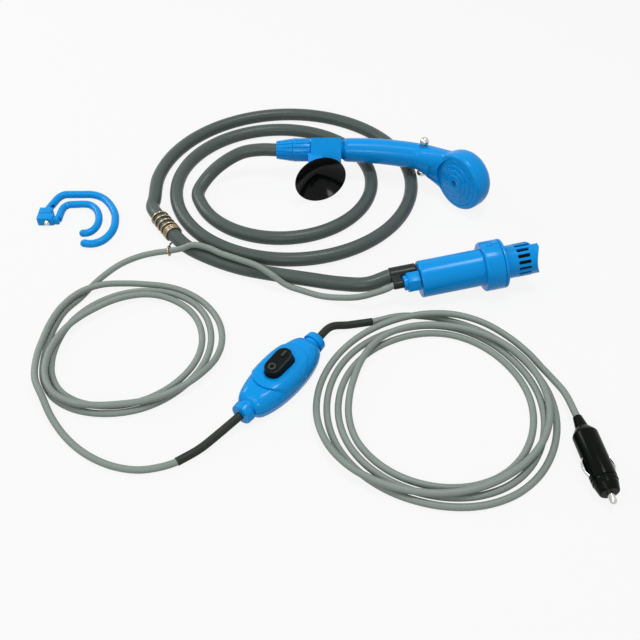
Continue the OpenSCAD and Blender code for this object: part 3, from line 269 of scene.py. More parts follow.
def frame_at(place: Point, yaw: float = 0.0, pitch: float = 0.0) -> Matrix:
    """Axes of a sub-assembly, from its own millimetres to the row frame in metres.

    Args:
        place: Origin in the layout, in millimetres.
        yaw: Turn about the vertical, in degrees.
        pitch: Turn about the own y axis before it, in degrees.

    Returns:
        The matrix.
    """
    turn = Matrix.Rotation(math.radians(yaw), 4, "Z") @ Matrix.Rotation(math.radians(pitch), 4, "Y")
    return Matrix.Scale(MM, 4) @ Matrix.Translation(Vector(place) + LAYOUT_ZERO) @ turn


def in_row(point: Point) -> Vector:
    """Point of the layout, in the row frame's metres."""
    return (Vector(point) + LAYOUT_ZERO) * MM


def in_layout(point: Vector) -> Vector:
    """Point of the row frame, in the layout's millimetres."""
    return point / MM - LAYOUT_ZERO


def shift(x: float, y: float, z: float) -> Matrix:
    """Translation matrix."""
    return Matrix.Translation((x, y, z))


def turn(degrees: float, axis: str) -> Matrix:
    """Rotation matrix about one axis."""
    return Matrix.Rotation(math.radians(degrees), 4, axis)


def rounded(corners: Sequence[Point], steps: int = 6) -> list[tuple[float, float]]:
    """Turn each corner (a, b, radius) of an open outline into an arc.

    Args:
        corners: Corners with their fillet radius; the ends keep their places.
        steps: Segments of each arc.

    Returns:
        The points of the outline.
    """
    points: list[tuple[float, float]] = []
    for i, corner in enumerate(corners):
        x, y, radius = corner if len(corner) == 3 else (*corner, 0.0)
        if radius <= 0 or i in (0, len(corners) - 1):
            points.append((x, y))
            continue
        here = Vector((x, y))
        back, ahead = Vector(corners[i - 1][:2]) - here, Vector(corners[i + 1][:2]) - here
        half = back.angle(ahead) / 2
        reach = min(radius / math.tan(half), back.length * 0.49, ahead.length * 0.49)
        bisector = (back.normalized() + ahead.normalized()).normalized()
        middle = here + bisector * (reach / math.cos(half))
        first = here + back.normalized() * reach - middle
        last = here + ahead.normalized() * reach - middle
        sweep = first.angle_signed(last)
        for k in range(steps + 1):
            angle = -sweep * k / steps
            spin = Matrix(((math.cos(angle), -math.sin(angle)), (math.sin(angle), math.cos(angle))))
            points.append(tuple(middle + spin @ first))
    return points


def smooth_path(points: Sequence[Point], steps: int = 6) -> list[Vector]:
    """Pass a smooth line through points.

    Args:
        points: The points.
        steps: Segments between two of them.

    Returns:
        Points of the centripetal Catmull-Rom line.
    """
    knots = [Vector(p) for p in points]
    knots = [2 * knots[0] - knots[1], *knots, 2 * knots[-1] - knots[-2]]
    line: list[Vector] = []
    for a, b, c, d in zip(knots, knots[1:], knots[2:], knots[3:]):
        ta = 0.0
        tb = ta + math.sqrt((b - a).length)
        tc = tb + math.sqrt((c - b).length)
        td = tc + math.sqrt((d - c).length)
        for k in range(steps):
            t = tb + (tc - tb) * k / steps
            ab = a.lerp(b, (t - ta) / (tb - ta))
            bc = b.lerp(c, (t - tb) / (tc - tb))
            cd = c.lerp(d, (t - tc) / (td - tc))
            early, late = ab.lerp(bc, (t - ta) / (tc - ta)), bc.lerp(cd, (t - tb) / (td - tb))
            line.append(early.lerp(late, (t - tb) / (tc - tb)))
    line.append(knots[-2])
    return line


class Shape:
    """A mesh in the making, in a sub-assembly's own millimetres."""

    def __init__(self) -> None:
        """Start with an empty mesh."""
        self.mesh = bmesh.new()

    def lathe(self, profile: Sequence[Point], at: Matrix | None = None, segments: int = 96,
              wave: float = 0.0) -> "Shape":
        """Turn a profile of (radius, height) about the z axis.

        Args:
            profile: Points from one end to the other; a radius of 0 makes a pole.
            at: Axes of the turned form.
            segments: Steps round the axis.
            wave: Height of a slow two-lobed warp that grows with the radius.

        Returns:
            The shape.
        """
        at = at or Matrix.Identity(4)
        widest = max(r for r, _ in profile) or 1.0
        rows = []
        for r, z in profile:
            if r < MERGE:
                rows.append([self.mesh.verts.new(at @ Vector((0.0, 0.0, z)))])
                continue
            row = []
            for k in range(segments):
                a = math.tau * k / segments
                lift = wave * (r / widest) ** 3 * math.cos(2 * a)
                row.append(self.mesh.verts.new(at @ Vector((r * math.cos(a), r * math.sin(a), z + lift))))
            rows.append(row)
        self._skin(rows)
        return self

    def loft(self, rings: Sequence[Sequence[Point]], at: Matrix | None = None) -> "Shape":
        """Skin closed rings of the same number of points, with a face at each end.

        Args:
            rings: The rings in order.
            at: Axes of the rings.

        Returns:
            The shape.
        """
        at = at or Matrix.Identity(4)
        rows = [[self.mesh.verts.new(at @ Vector(p)) for p in ring] for ring in rings]
        self._skin(rows)
        for row in (rows[0], rows[-1]):
            self.mesh.faces.new(row)
        return self

    def _skin(self, rows: list[list[bmesh.types.BMVert]]) -> None:
        """Join rows of vertices by faces.

        Args:
            rows: Rows of as many vertices, or of one vertex for a pole.
        """
        for low, high in zip(rows, rows[1:]):
            count = max(len(low), len(high))
            for k in range(count):
                n = (k + 1) % count
                corners = [low[k % len(low)], low[n % len(low)], high[n % len(high)], high[k % len(high)]]
                self.mesh.faces.new(list(dict.fromkeys(corners)))

    def prism(self, outline: Sequence[Point], height: float, at: Matrix | None = None) -> "Shape":
        """Raise a closed outline along z.

        Args:
            outline: Points (x, y).
            height: Height of the prism.
            at: Axes of the outline.

        Returns:
            The shape.
        """
        return self.loft([[(x, y, z) for x, y in outline] for z in (0.0, height)], at)

    def box(self, low: Point, high: Point, at: Matrix | None = None) -> "Shape":
        """Add a box between two corners, in the axes given."""
        outline = [(low[0], low[1]), (high[0], low[1]), (high[0], high[1]), (low[0], high[1])]
        return self.prism(outline, high[2] - low[2], (at or Matrix.Identity(4)) @ shift(0, 0, low[2]))

    def hull(self, points: Iterable[Point], at: Matrix | None = None) -> "Shape":
        """Add the convex hull of points.

        Args:
            points: The points.
            at: Axes of the points.

        Returns:
            The shape.
        """
        at = at or Matrix.Identity(4)
        form = bmesh.new()
        for p in points:
            form.verts.new(at @ Vector(p))
        found = bmesh.ops.convex_hull(form, input=form.verts)
        bmesh.ops.delete(form, geom=list({v for v in found["geom_interior"] + found["geom_unused"]
                                          if isinstance(v, bmesh.types.BMVert)}), context="VERTS")
        scratch = bpy.data.meshes.new("hull")
        form.to_mesh(scratch)
        form.free()
        self.mesh.from_mesh(scratch)
        bpy.data.meshes.remove(scratch)
        return self

    def made(self, name: str) -> bpy.types.Object:
        """Close the shape as an object, still in millimetres.

        Args:
            name: Name of the object.

        Returns:
            The object.
        """
        bmesh.ops.remove_doubles(self.mesh, verts=self.mesh.verts, dist=MERGE)
        bmesh.ops.recalc_face_normals(self.mesh, faces=self.mesh.faces)
        data = bpy.data.meshes.new(name)
        self.mesh.to_mesh(data)
        self.mesh.free()
        piece = bpy.data.objects.new(name, data)
        bpy.context.scene.collection.objects.link(piece)
        return piece


def bake(piece: bpy.types.Object) -> bpy.types.Object:
    """Put the result of an object's modifiers into its mesh.

    Args:
        piece: The object.

    Returns:
        The object, without modifiers.
    """
    result = bpy.data.meshes.new_from_object(piece.evaluated_get(bpy.context.evaluated_depsgraph_get()))
    piece.modifiers.clear()
    piece.data = result
    return piece


def join(piece: bpy.types.Object, other: bpy.types.Object, how: Join) -> bpy.types.Object:
    """Cut or add a second object, which is used up.

    Args:
        piece: The object that stays.
        other: The object that goes.
        how: Union or difference.

    Returns:
        The first object.
    """
    step = piece.modifiers.new("join", "BOOLEAN")
    step.operation, step.object, step.solver = how.value, other, "EXACT"
    bake(piece)
    bpy.data.objects.remove(other)
    return piece


def ease(piece: bpy.types.Object, width: float, segments: int = 3, angle: float = 35.0) -> bpy.types.Object:
    """Round an object's sharp edges.

    Args:
        piece: The object, in millimetres.
        width: Width of the rounding.
        segments: Steps across it.
        angle: Least angle between faces, in degrees.

    Returns:
        The object.
    """
    step = piece.modifiers.new("ease", "BEVEL")
    step.width, step.segments, step.limit_method = width, segments, "ANGLE"
    step.angle_limit = math.radians(angle)
    return bake(piece)


def melt(piece: bpy.types.Object, voxel: float, passes: int) -> bpy.types.Object:
    """Run an object's overlapping forms together into one skin.

    Args:
        piece: The object, in millimetres.
        voxel: Size of the skin's grid.
        passes: Smoothing passes.

    Returns:
        The object.
    """
    skin = piece.modifiers.new("skin", "REMESH")
    skin.mode, skin.voxel_size, skin.use_smooth_shade = "VOXEL", voxel, True
    even = piece.modifiers.new("even", "SMOOTH")
    even.factor, even.iterations = 0.5, passes
    return bake(piece)


class RoundCuts:
    """Geometry nodes that cut a ring of like openings round the z axis of a piece."""

    NAME = "cuts_round_axis"

    @classmethod
    def tree(cls) -> bpy.types.NodeTree:
        """Node tree, made on the first call.

        Returns:
            The tree.
        """
        found = bpy.data.node_groups.get(cls.NAME)
        if found:
            return found
        tree = bpy.data.node_groups.new(cls.NAME, "GeometryNodeTree")
        group_socket(tree, "Geometry", "Geometry")
        group_socket(tree, "Count", "Int", value=8)
        for name in ("Turn", "Width", "Height", "Corner"):
            group_socket(tree, name, "Float", value=1.0)
        for name, kind in (("From", "Vector"), ("To", "Vector"), ("Material", "Material")):
            group_socket(tree, name, kind)
        group_socket(tree, "Geometry", "Geometry", out=True)
        start, end, share, angle, spin = (tree.nodes.new(kind) for kind in (
            "NodeGroupInput", "NodeGroupOutput", "ShaderNodeMath", "ShaderNodeMath", "ShaderNodeCombineXYZ"))
        line, outline, corner, cutter, row, index, copies, real, cut, whole, paint = (
            tree.nodes.new(f"GeometryNode{kind}") for kind in (
                "CurvePrimitiveLine", "CurvePrimitiveQuadrilateral", "FilletCurve", "CurveToMesh", "MeshLine",
                "InputIndex", "InstanceOnPoints", "RealizeInstances", "MeshBoolean", "RealizeInstances",
                "SetMaterial"))
        corner.mode = "POLY"
        corner.inputs["Count"].default_value = 5
        cutter.inputs["Fill Caps"].default_value = True
        row.inputs["Offset"].default_value = (0.0, 0.0, 0.0)
        share.operation, angle.operation, cut.operation = "DIVIDE", "MULTIPLY_ADD", "DIFFERENCE"
        share.inputs[0].default_value = math.tau
        connect(
            tree,
            (start, "From", line, "Start"), (start, "To", line, "End"),
            (start, "Width", outline, "Width"), (start, "Height", outline, "Height"),
            (outline, "Curve", corner, "Curve"), (start, "Corner", corner, "Radius"),
            (line, "Curve", cutter, "Curve"), (corner, "Curve", cutter, "Profile Curve"),
            (start, "Count", row, "Count"), (start, "Count", share, 1), (index, "Index", angle, 0),
            (share, 0, angle, 1), (start, "Turn", angle, 2), (angle, 0, spin, "Z"),
            (row, "Mesh", copies, "Points"), (cutter, "Mesh", copies, "Instance"),
            (spin, "Vector", copies, "Rotation"), (copies, "Instances", real, "Geometry"),
            (start, "Geometry", cut, "Mesh 1"), (real, "Geometry", cut, "Mesh 2"),
            (cut, "Mesh", whole, "Geometry"), (whole, "Geometry", paint, "Geometry"),
            (start, "Material", paint, "Material"), (paint, "Geometry", end, "Geometry"))
        return tree

    @classmethod
    def apply(cls, piece: bpy.types.Object, finish: Finish, **inputs: object) -> bpy.types.Object:
        """Cut a ring of openings.

        Args:
            piece: The object, in millimetres.
            finish: Surface of the result.
            inputs: Values of the tree's inputs by name.

        Returns:
            The object.
        """
        return run_tree(piece, cls.tree(), {**inputs, "Material": finish.material()})


class RodAlongPath:
    """Geometry nodes that make a round rod along a line of points."""

    NAME = "rod_along_path"

    @classmethod
    def tree(cls) -> bpy.types.NodeTree:
        """Node tree, made on the first call.

        Returns:
            The tree.
        """
        found = bpy.data.node_groups.get(cls.NAME)
        if found:
            return found
        tree = bpy.data.node_groups.new(cls.NAME, "GeometryNodeTree")
        group_socket(tree, "Geometry", "Geometry")
        group_socket(tree, "Radius", "Float", value=1.0)
        group_socket(tree, "Sides", "Int", value=16)
        group_socket(tree, "Material", "Material")
        group_socket(tree, "Geometry", "Geometry", out=True)
        start, end = tree.nodes.new("NodeGroupInput"), tree.nodes.new("NodeGroupOutput")
        line, circle, sweep, real, paint = (tree.nodes.new(f"GeometryNode{kind}") for kind in (
            "MeshToCurve", "CurvePrimitiveCircle", "CurveToMesh", "RealizeInstances", "SetMaterial"))
        sweep.inputs["Fill Caps"].default_value = True
        connect(
            tree,
            (start, "Geometry", line, "Mesh"), (start, "Radius", circle, "Radius"),
            (start, "Sides", circle, "Resolution"), (line, "Curve", sweep, "Curve"),
            (circle, "Curve", sweep, "Profile Curve"), (sweep, "Mesh", real, "Geometry"),
            (real, "Geometry", paint, "Geometry"), (start, "Material", paint, "Material"),
            (paint, "Geometry", end, "Geometry"))
        return tree

    @classmethod
    def make(cls, name: str, path: Sequence[Point], radius: float, finish: Finish,
             sides: int = 20) -> bpy.types.Object:
        """Make a rod.

        Args:
            name: Name of the object.
            path: Points of the centreline, in millimetres.
            radius: Radius of the rod.
            finish: Surface of the rod.
            sides: Steps round the rod.

        Returns:
            The object, in millimetres.
        """
        data = bpy.data.meshes.new(name)
        data.from_pydata([tuple(p) for p in path], [(i, i + 1) for i in range(len(path) - 1)], [])
        piece = bpy.data.objects.new(name, data)
        bpy.context.scene.collection.objects.link(piece)
        return run_tree(piece, cls.tree(), {"Radius": radius, "Sides": sides, "Material": finish.material()})


def run_tree(piece: bpy.types.Object, tree: bpy.types.NodeTree,
             inputs: dict[str, object]) -> bpy.types.Object:
    """Run a geometry node tree on an object and bake the result.

    Args:
        piece: The object.
        tree: The tree.
        inputs: Values of its inputs by name.

    Returns:
        The object.
    """
    step = piece.modifiers.new(tree.name, "NODES")
    step.node_group = tree
    for item in tree.interface.items_tree:
        if item.in_out == "INPUT" and item.name in inputs:
            step[item.identifier] = inputs[item.name]
    return bake(piece)


def settle(piece: bpy.types.Object, frame: Matrix, finish: Finish, body: Body, nodes: Sequence[str],
           crease: float = 32.0, name: str = "") -> bpy.types.Object:
    """Put a finished piece in the row frame, dress it and give it to its body.

    Args:
        piece: The object, in its sub-assembly's millimetres.
        frame: Axes of the sub-assembly.
        finish: Surface of the piece.
        body: Body it rides.
        nodes: CAD nodes it stands for.
        crease: Least angle of an edge that stays sharp, in degrees.
        name: Name of the piece, where it isn't named for its first node.

    Returns:
        The piece.
    """
    data = piece.data
    data.transform(frame)
    form = bmesh.new()
    form.from_mesh(data)
    bmesh.ops.remove_doubles(form, verts=form.verts, dist=2e-6)
    bmesh.ops.recalc_face_normals(form, faces=form.faces)
    form.to_mesh(data)
    form.free()
    data.shade_smooth()
    data.set_sharp_from_angle(angle=math.radians(crease))
    data.materials.clear()
    data.materials.append(finish.material())
    piece.name = f"{name or nodes[0]}_dressed"
    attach(piece, body.value)
    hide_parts(*nodes)
    LOG.info("piece %s: %d faces, body %s", piece.name, len(data.polygons), body.value)
    return piece


# Camera and cords


@dataclass(frozen=True)
class View:
    """Camera of the photograph.

    Attributes:
        place: Eye in the row frame, in metres.
        tilt: Angle from straight down, in degrees.
        lens: Focal length in millimetres on the sensor.
        sensor: Width of the sensor in millimetres.
        pixels: Width and height of the image.
    """

    place: tuple[float, float, float] = (0.041783, -0.657907, 0.568)
    tilt: float = 43.1
    lens: float = 47.25
    sensor: float = 36.0
    pixels: int = 640

    def build(self) -> None:
        """Make the camera and set the image."""
        data = bpy.data.cameras.new("photo_camera")
        data.lens, data.sensor_width = self.lens, self.sensor
        camera = bpy.data.objects.new("photo_camera", data)
        camera.location = self.place
        camera.rotation_euler = (math.radians(self.tilt), 0.0, 0.0)
        scene = bpy.context.scene
        scene.collection.objects.link(camera)
        scene.camera = camera
        scene.render.resolution_x = scene.render.resolution_y = self.pixels
        scene.view_settings.view_transform = "Standard"


def pass_through(values: Sequence[float], u: float) -> float:
    """Value of a smooth line through evenly spaced values.

    Args:
        values: The values.
        u: Place on the line, 1 per value.

    Returns:
        The value there.
    """
    i = min(int(u), len(values) - 2)
    f = u - i
    a, b, c, d = (values[max(0, min(len(values) - 1, i + k))] for k in (-1, 0, 1, 2))
    return b + 0.5 * f * (c - a + f * (2 * a - 5 * b + 4 * c - d + f * (3 * (b - c) + d - a)))


def step_through(values: Sequence[float], u: float) -> float:
    """Value of a line that eases from each value to the next.

    Args:
        values: The values.
        u: Place on the line, 1 per value.

    Returns:
        The value there.
    """
    i = min(int(u), len(values) - 2)
    return values[i] + (values[i + 1] - values[i]) * (1 - math.cos(math.pi * (u - i))) / 2


@dataclass(frozen=True)
class Coil:
    """Loose loops of cable on the floor.

    Attributes:
        middle: Centre of the loops.
        start: Angle of the first knot, in degrees.
        way: 1 for anticlockwise, -1 for clockwise.
        radii: Radius at each knot.
        levels: Layer at each knot, 0 on the floor.
        floor: Height of the line in the lowest layer.
        rise: Height of one layer.
        apart: Angle from knot to knot, in degrees.
        steps: Points from knot to knot.
    """

    middle: tuple[float, float]
    start: float
    way: int
    radii: tuple[float, ...]
    levels: tuple[float, ...]
    floor: float = 3.0
    rise: float = 6.7
    apart: float = 45.0
    steps: int = 3

    def points(self) -> list[tuple[float, float, float]]:
        """Line of the cable through the loops.

        Returns:
            Points of the line in the layout.
        """
        line = []
        for i in range((len(self.radii) - 1) * self.steps + 1):
            u = i / self.steps
            a, r = math.radians(self.start + self.way * self.apart * u), pass_through(self.radii, u)
            line.append((self.middle[0] + r * math.cos(a), self.middle[1] + r * math.sin(a),
                         self.floor + self.rise * step_through(self.levels, u)))
        return line


@dataclass
class Cords:
    """Hose, cables, their sleeves and the wire clip that ties cable to hose.

    Attributes:
        hose_d: Outside of the hose.
        cable_d: Outside of the cables.
        sleeve_d: Outside of the sleeves at the switch.
        spiral_middle: Centre of the hose's spiral where it starts.
        spiral_drift: Way of the centre along x in a turn.
        spiral_r: First radius of the spiral.
        spiral_growth: Growth of the radius in a turn.
        spiral_squash: Share of the radius that holds along y.
        spiral_start: Angle at which the spiral starts, in degrees.
        spiral_turns: Turns of the spiral.
        wire_d: Wire of the clip.
        wire_gap: Gap between close turns, and between the eye and the cable.
        clip_slack: Gap between the hose and the clip.
        clip_ends: Middle of the clip's first and last turn.
        open_turns: Wide turns of the clip.
        close_turns: Tight turns of the clip.
        clip_arm: Wire between the turns and the eye.
        eye_middle: Middle of the eye, on the cable.
        eye_way: Run of the cable through the eye.
        eye_turn: Share of a turn that the eye makes.
        left: Hank of the pump's cable.
        right: Hank of the plug's cable.
    """

    hose_d: float = 14.0
    cable_d: float = 6.0
    sleeve_d: float = 7.2
    spiral_middle: tuple[float, float] = (-48.0, 193.0)
    spiral_drift: float = 10.0
    spiral_r: float = 83.0
    spiral_growth: float = 33.0
    spiral_squash: float = 0.96
    spiral_start: float = 190.0
    spiral_turns: int = 2
    wire_d: float = 1.8
    wire_gap: float = 0.5
    clip_slack: float = 0.35
    clip_ends: tuple[Point, Point] = ((-166.0, 137.0, 9.2), (-147.0, 109.0, 9.2))
    open_turns: int = 4
    close_turns: int = 3
    clip_arm: tuple[Point, Point] = ((-151.0, 103.0, 1.7), (-150.5, 95.0, 2.6))
    eye_middle: Point = (-149.0, 86.0, 8.0)
    eye_way: Point = (25.0, 0.0, 7.0)
    eye_turn: float = 0.9
    left: Coil = Coil(
        (-167.0, -32.0), 135.0, 1,
        (83, 77, 85, 77, 70, 69, 70, 67, 66, 69, 77, 69, 62, 61, 61, 59, 55, 68, 84, 73, 74, 79, 77, 76,
         83, 80, 93),
        (0, 0, 0, 0, 0, 0, 0, 0, 0, 0, 0, 0, 0, 0, 0.15, 0.5, 1, 1, 1, 1, 1, 0.2, 0, 0, 1, 1, 1))
    right: Coil = Coil(
        (99.0, -94.0), 120.0, -1,
        (102, 92, 91, 100, 107, 102, 98, 90, 84, 84, 83, 90, 98, 94, 89, 80, 74, 75, 75, 81, 88, 86, 81, 72,
         78, 80, 87, 93, 93, 98, 106, 98, 90, 95, 100),
        (0.1, *(0,) * 22, 0.9, 1, 1, 1, 1, 1, 1, 1, 0.3, 1, 1, 0))

    def hose_points(self, pump: "Pump") -> list[Point]:
        """Route of the hose from the handset to the pump.

        Args:
            pump: Where the hose ends.

        Returns:
            Points of the route in the layout.
        """
        spiral, steps = [], 24
        for i in range(self.spiral_turns * steps + 1):
            t = i / steps
            a, r = math.radians(self.spiral_start + 360 * t), self.spiral_r + self.spiral_growth * t
            spiral.append((self.spiral_middle[0] + self.spiral_drift * t + r * math.cos(a),
                           self.spiral_middle[1] + self.spiral_squash * r * math.sin(a), self.hose_d / 2))
        return [HANDSET_START, (-64, 223, 31), (-84, 221.3, 28.4), (-104, 212, 22), (-120, 200, 13), *spiral,
                (-175, 155, 7), *self.clip_ends, (-133, 94, 7), (-108, 77, 7), (-78, 63, 7), (-45, 54, 7),
                (-12, 46, 8), (18, 37, 11), (44, 33, 14), pump.point(*pump.hose_port, -pump.boot_l)]

    def left_points(self, pump: "Pump", switch: "Switch") -> list[Point]:
        """Route of the pump's cable up to its sleeve, and of the sleeve after it.

        Args:
            pump: Where the cable begins.
            switch: Where the sleeve ends.

        Returns:
            Points of the route in the layout.
        """
        lead = [(62, 21, 19.6), (50, 18, 17), (36, 18, 12), (20, 22, 7), (2, 28, 3), (-16, 35, 3),
                (-32, 39, 7), (-46, 45, 15), (-60, 54, 18), (-78, 63, 18), (-95, 71, 18), (-110, 80, 18),
                (-124, 84, 18), (-137, 85, 12), (-149, 86, 8), (-162, 87, 5), (-178, 84, 3), (-195, 73, 3),
                (-208, 58, 3), (-218, 42, 3)]
        tail = [(-222, -116, 6), (-207, -134, 3), (-188, -150, 3), (-166, -161, 3), (-145, -165, 3),
                (-129, -163, 3)]
        sleeve = [(-114, -158, 3.6), (-97, -146, 4), (-83, -134, 7), switch.cord_end(-1)]
        return [pump.point(*pump.gland_port, -pump.boot_l), *lead, *self.left.points(), *tail, *sleeve]

    def right_points(self, plug: "Plug", switch: "Switch") -> list[Point]:
        """Route of the plug's cable from its sleeve at the switch.

        Args:
            plug: Where the cable ends.
            switch: Where the sleeve begins.

        Returns:
            Points of the route in the layout.
        """
        sleeve = [switch.cord_end(1), (10, -17, 9), (26, -11, 5)]
        return [*sleeve, *self.right.points(), (193, -58, 3), (201, -74, 4), (207, -91, 7), plug.place]

    def clip_points(self) -> list[Vector]:
        """Line of the clip's wire: open turns, close turns and the eye.

        Returns:
            Points of the line in the layout.
        """
        steps, span = 32, 6
        first, last = Vector(self.clip_ends[0]), Vector(self.clip_ends[1])
        axis, up = (last - first).normalized(), Vector((0.0, 0.0, 1.0))
        side = axis.cross(up).normalized()
        wind_r = (self.hose_d + self.wire_d) / 2 + self.clip_slack
        close = self.wire_d + self.wire_gap
        wide = ((last - first).length - self.close_turns * close) / self.open_turns
        line = []
        for i in range((self.open_turns + self.close_turns) * steps + 1):
            t = i / steps
            along = min(t, self.open_turns) * wide + max(t - self.open_turns, 0.0) * close
            a = math.tau * t - math.pi / 2
            line.append(first + along * axis + wind_r * (math.cos(a) * side + math.sin(a) * up))
        way, far = Vector(self.eye_way).normalized(), Vector((0.0, 1.0, 0.0))
        rise = way.cross(far)
        eye_r = (self.cable_d + self.wire_d) / 2 + self.wire_gap
        eye = []
        for i in range(steps + 1):
            t = self.eye_turn * i / steps
            a = math.tau * t
            eye.append(Vector(self.eye_middle) + (t - self.eye_turn / 2) * close * way
                       - eye_r * (math.sin(a) * far + math.cos(a) * rise))
        bridge = smooth_path([line[-6], line[-1], *self.clip_arm, eye[0], eye[4]], span)
        return [*line[:-1], *bridge[span:4 * span + 1], *eye[1:]]

    def curve(self, name: str, points: Sequence[Point], diameter: float,
              finish: Finish) -> tuple[bpy.types.Object, float]:
        """Make a cord as a round curve.

        Args:
            name: Name of the cord.
            points: Route in the layout, in millimetres.
            diameter: Outside of the cord.
            finish: Surface of the cord.

        Returns:
            The object and its length in metres.
        """
        line = [in_row(p) for p in smooth_path(points)]
        data = bpy.data.curves.new(name, "CURVE")
        data.dimensions, data.bevel_depth, data.bevel_resolution = "3D", diameter / 2 * MM, 6
        data.use_fill_caps = True
        spline = data.splines.new("POLY")
        spline.points.add(len(line) - 1)
        for point, p in zip(spline.points, line):
            point.co = (*p, 1.0)
        data.materials.append(finish.material())
        piece = bpy.data.objects.new(name, data)
        bpy.context.scene.collection.objects.link(piece)
        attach(piece, Body.KIT.value)
        length = sum((b - a).length for a, b in zip(line, line[1:]))
        LOG.info("cord %s: %.3f m", name, length)
        return piece, length

    def sleeve(self, name: str, points: Sequence[Point]) -> bpy.types.Object:
        """Make a rubber sleeve over the end of a cable.

        Args:
            name: CAD node of the sleeve.
            points: Route of the sleeve in the layout.

        Returns:
            The sleeve.
        """
        rod = RodAlongPath.make(name, smooth_path(points, 8), self.sleeve_d / 2, SLEEVE_GREY, 24)
        ease(rod, 0.5, 2, 60.0)
        return settle(rod, frame_at((0.0, 0.0, 0.0)), SLEEVE_GREY, Body.KIT, [name])

    def build(self, pump: "Pump", switch: "Switch", plug: "Plug") -> None:
        """Args:
            pump: Where the hose ends and the first cable begins.
            switch: Between the two cables.
            plug: At the end of the second cable.
        """
        hose, length = self.curve("hose", self.hose_points(pump), self.hose_d, HOSE_GREY)
        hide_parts("hose_lead", "hose_coil", "hose_run")
        clip = RodAlongPath.make("hose_clip", self.clip_points(), self.wire_d / 2, BRONZE, 12)
        settle(clip, frame_at((0.0, 0.0, 0.0)), BRONZE, Body.KIT, ["hose_clip"], 50.0)

        route = self.left_points(pump, switch)
        left, length = self.curve("pump_cable", route, self.cable_d, CABLE_GREY)
        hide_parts("pump_lead", "left_coil", "switch_lead")
        sleeve = self.sleeve("left_sleeve", route[-4:])

        route = self.right_points(plug, switch)
        right, length = self.curve("plug_cable", route, self.cable_d, CABLE_GREY)
        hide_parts("right_coil", "plug_lead")
        sleeve = self.sleeve("right_sleeve", route[:4])


# Pump


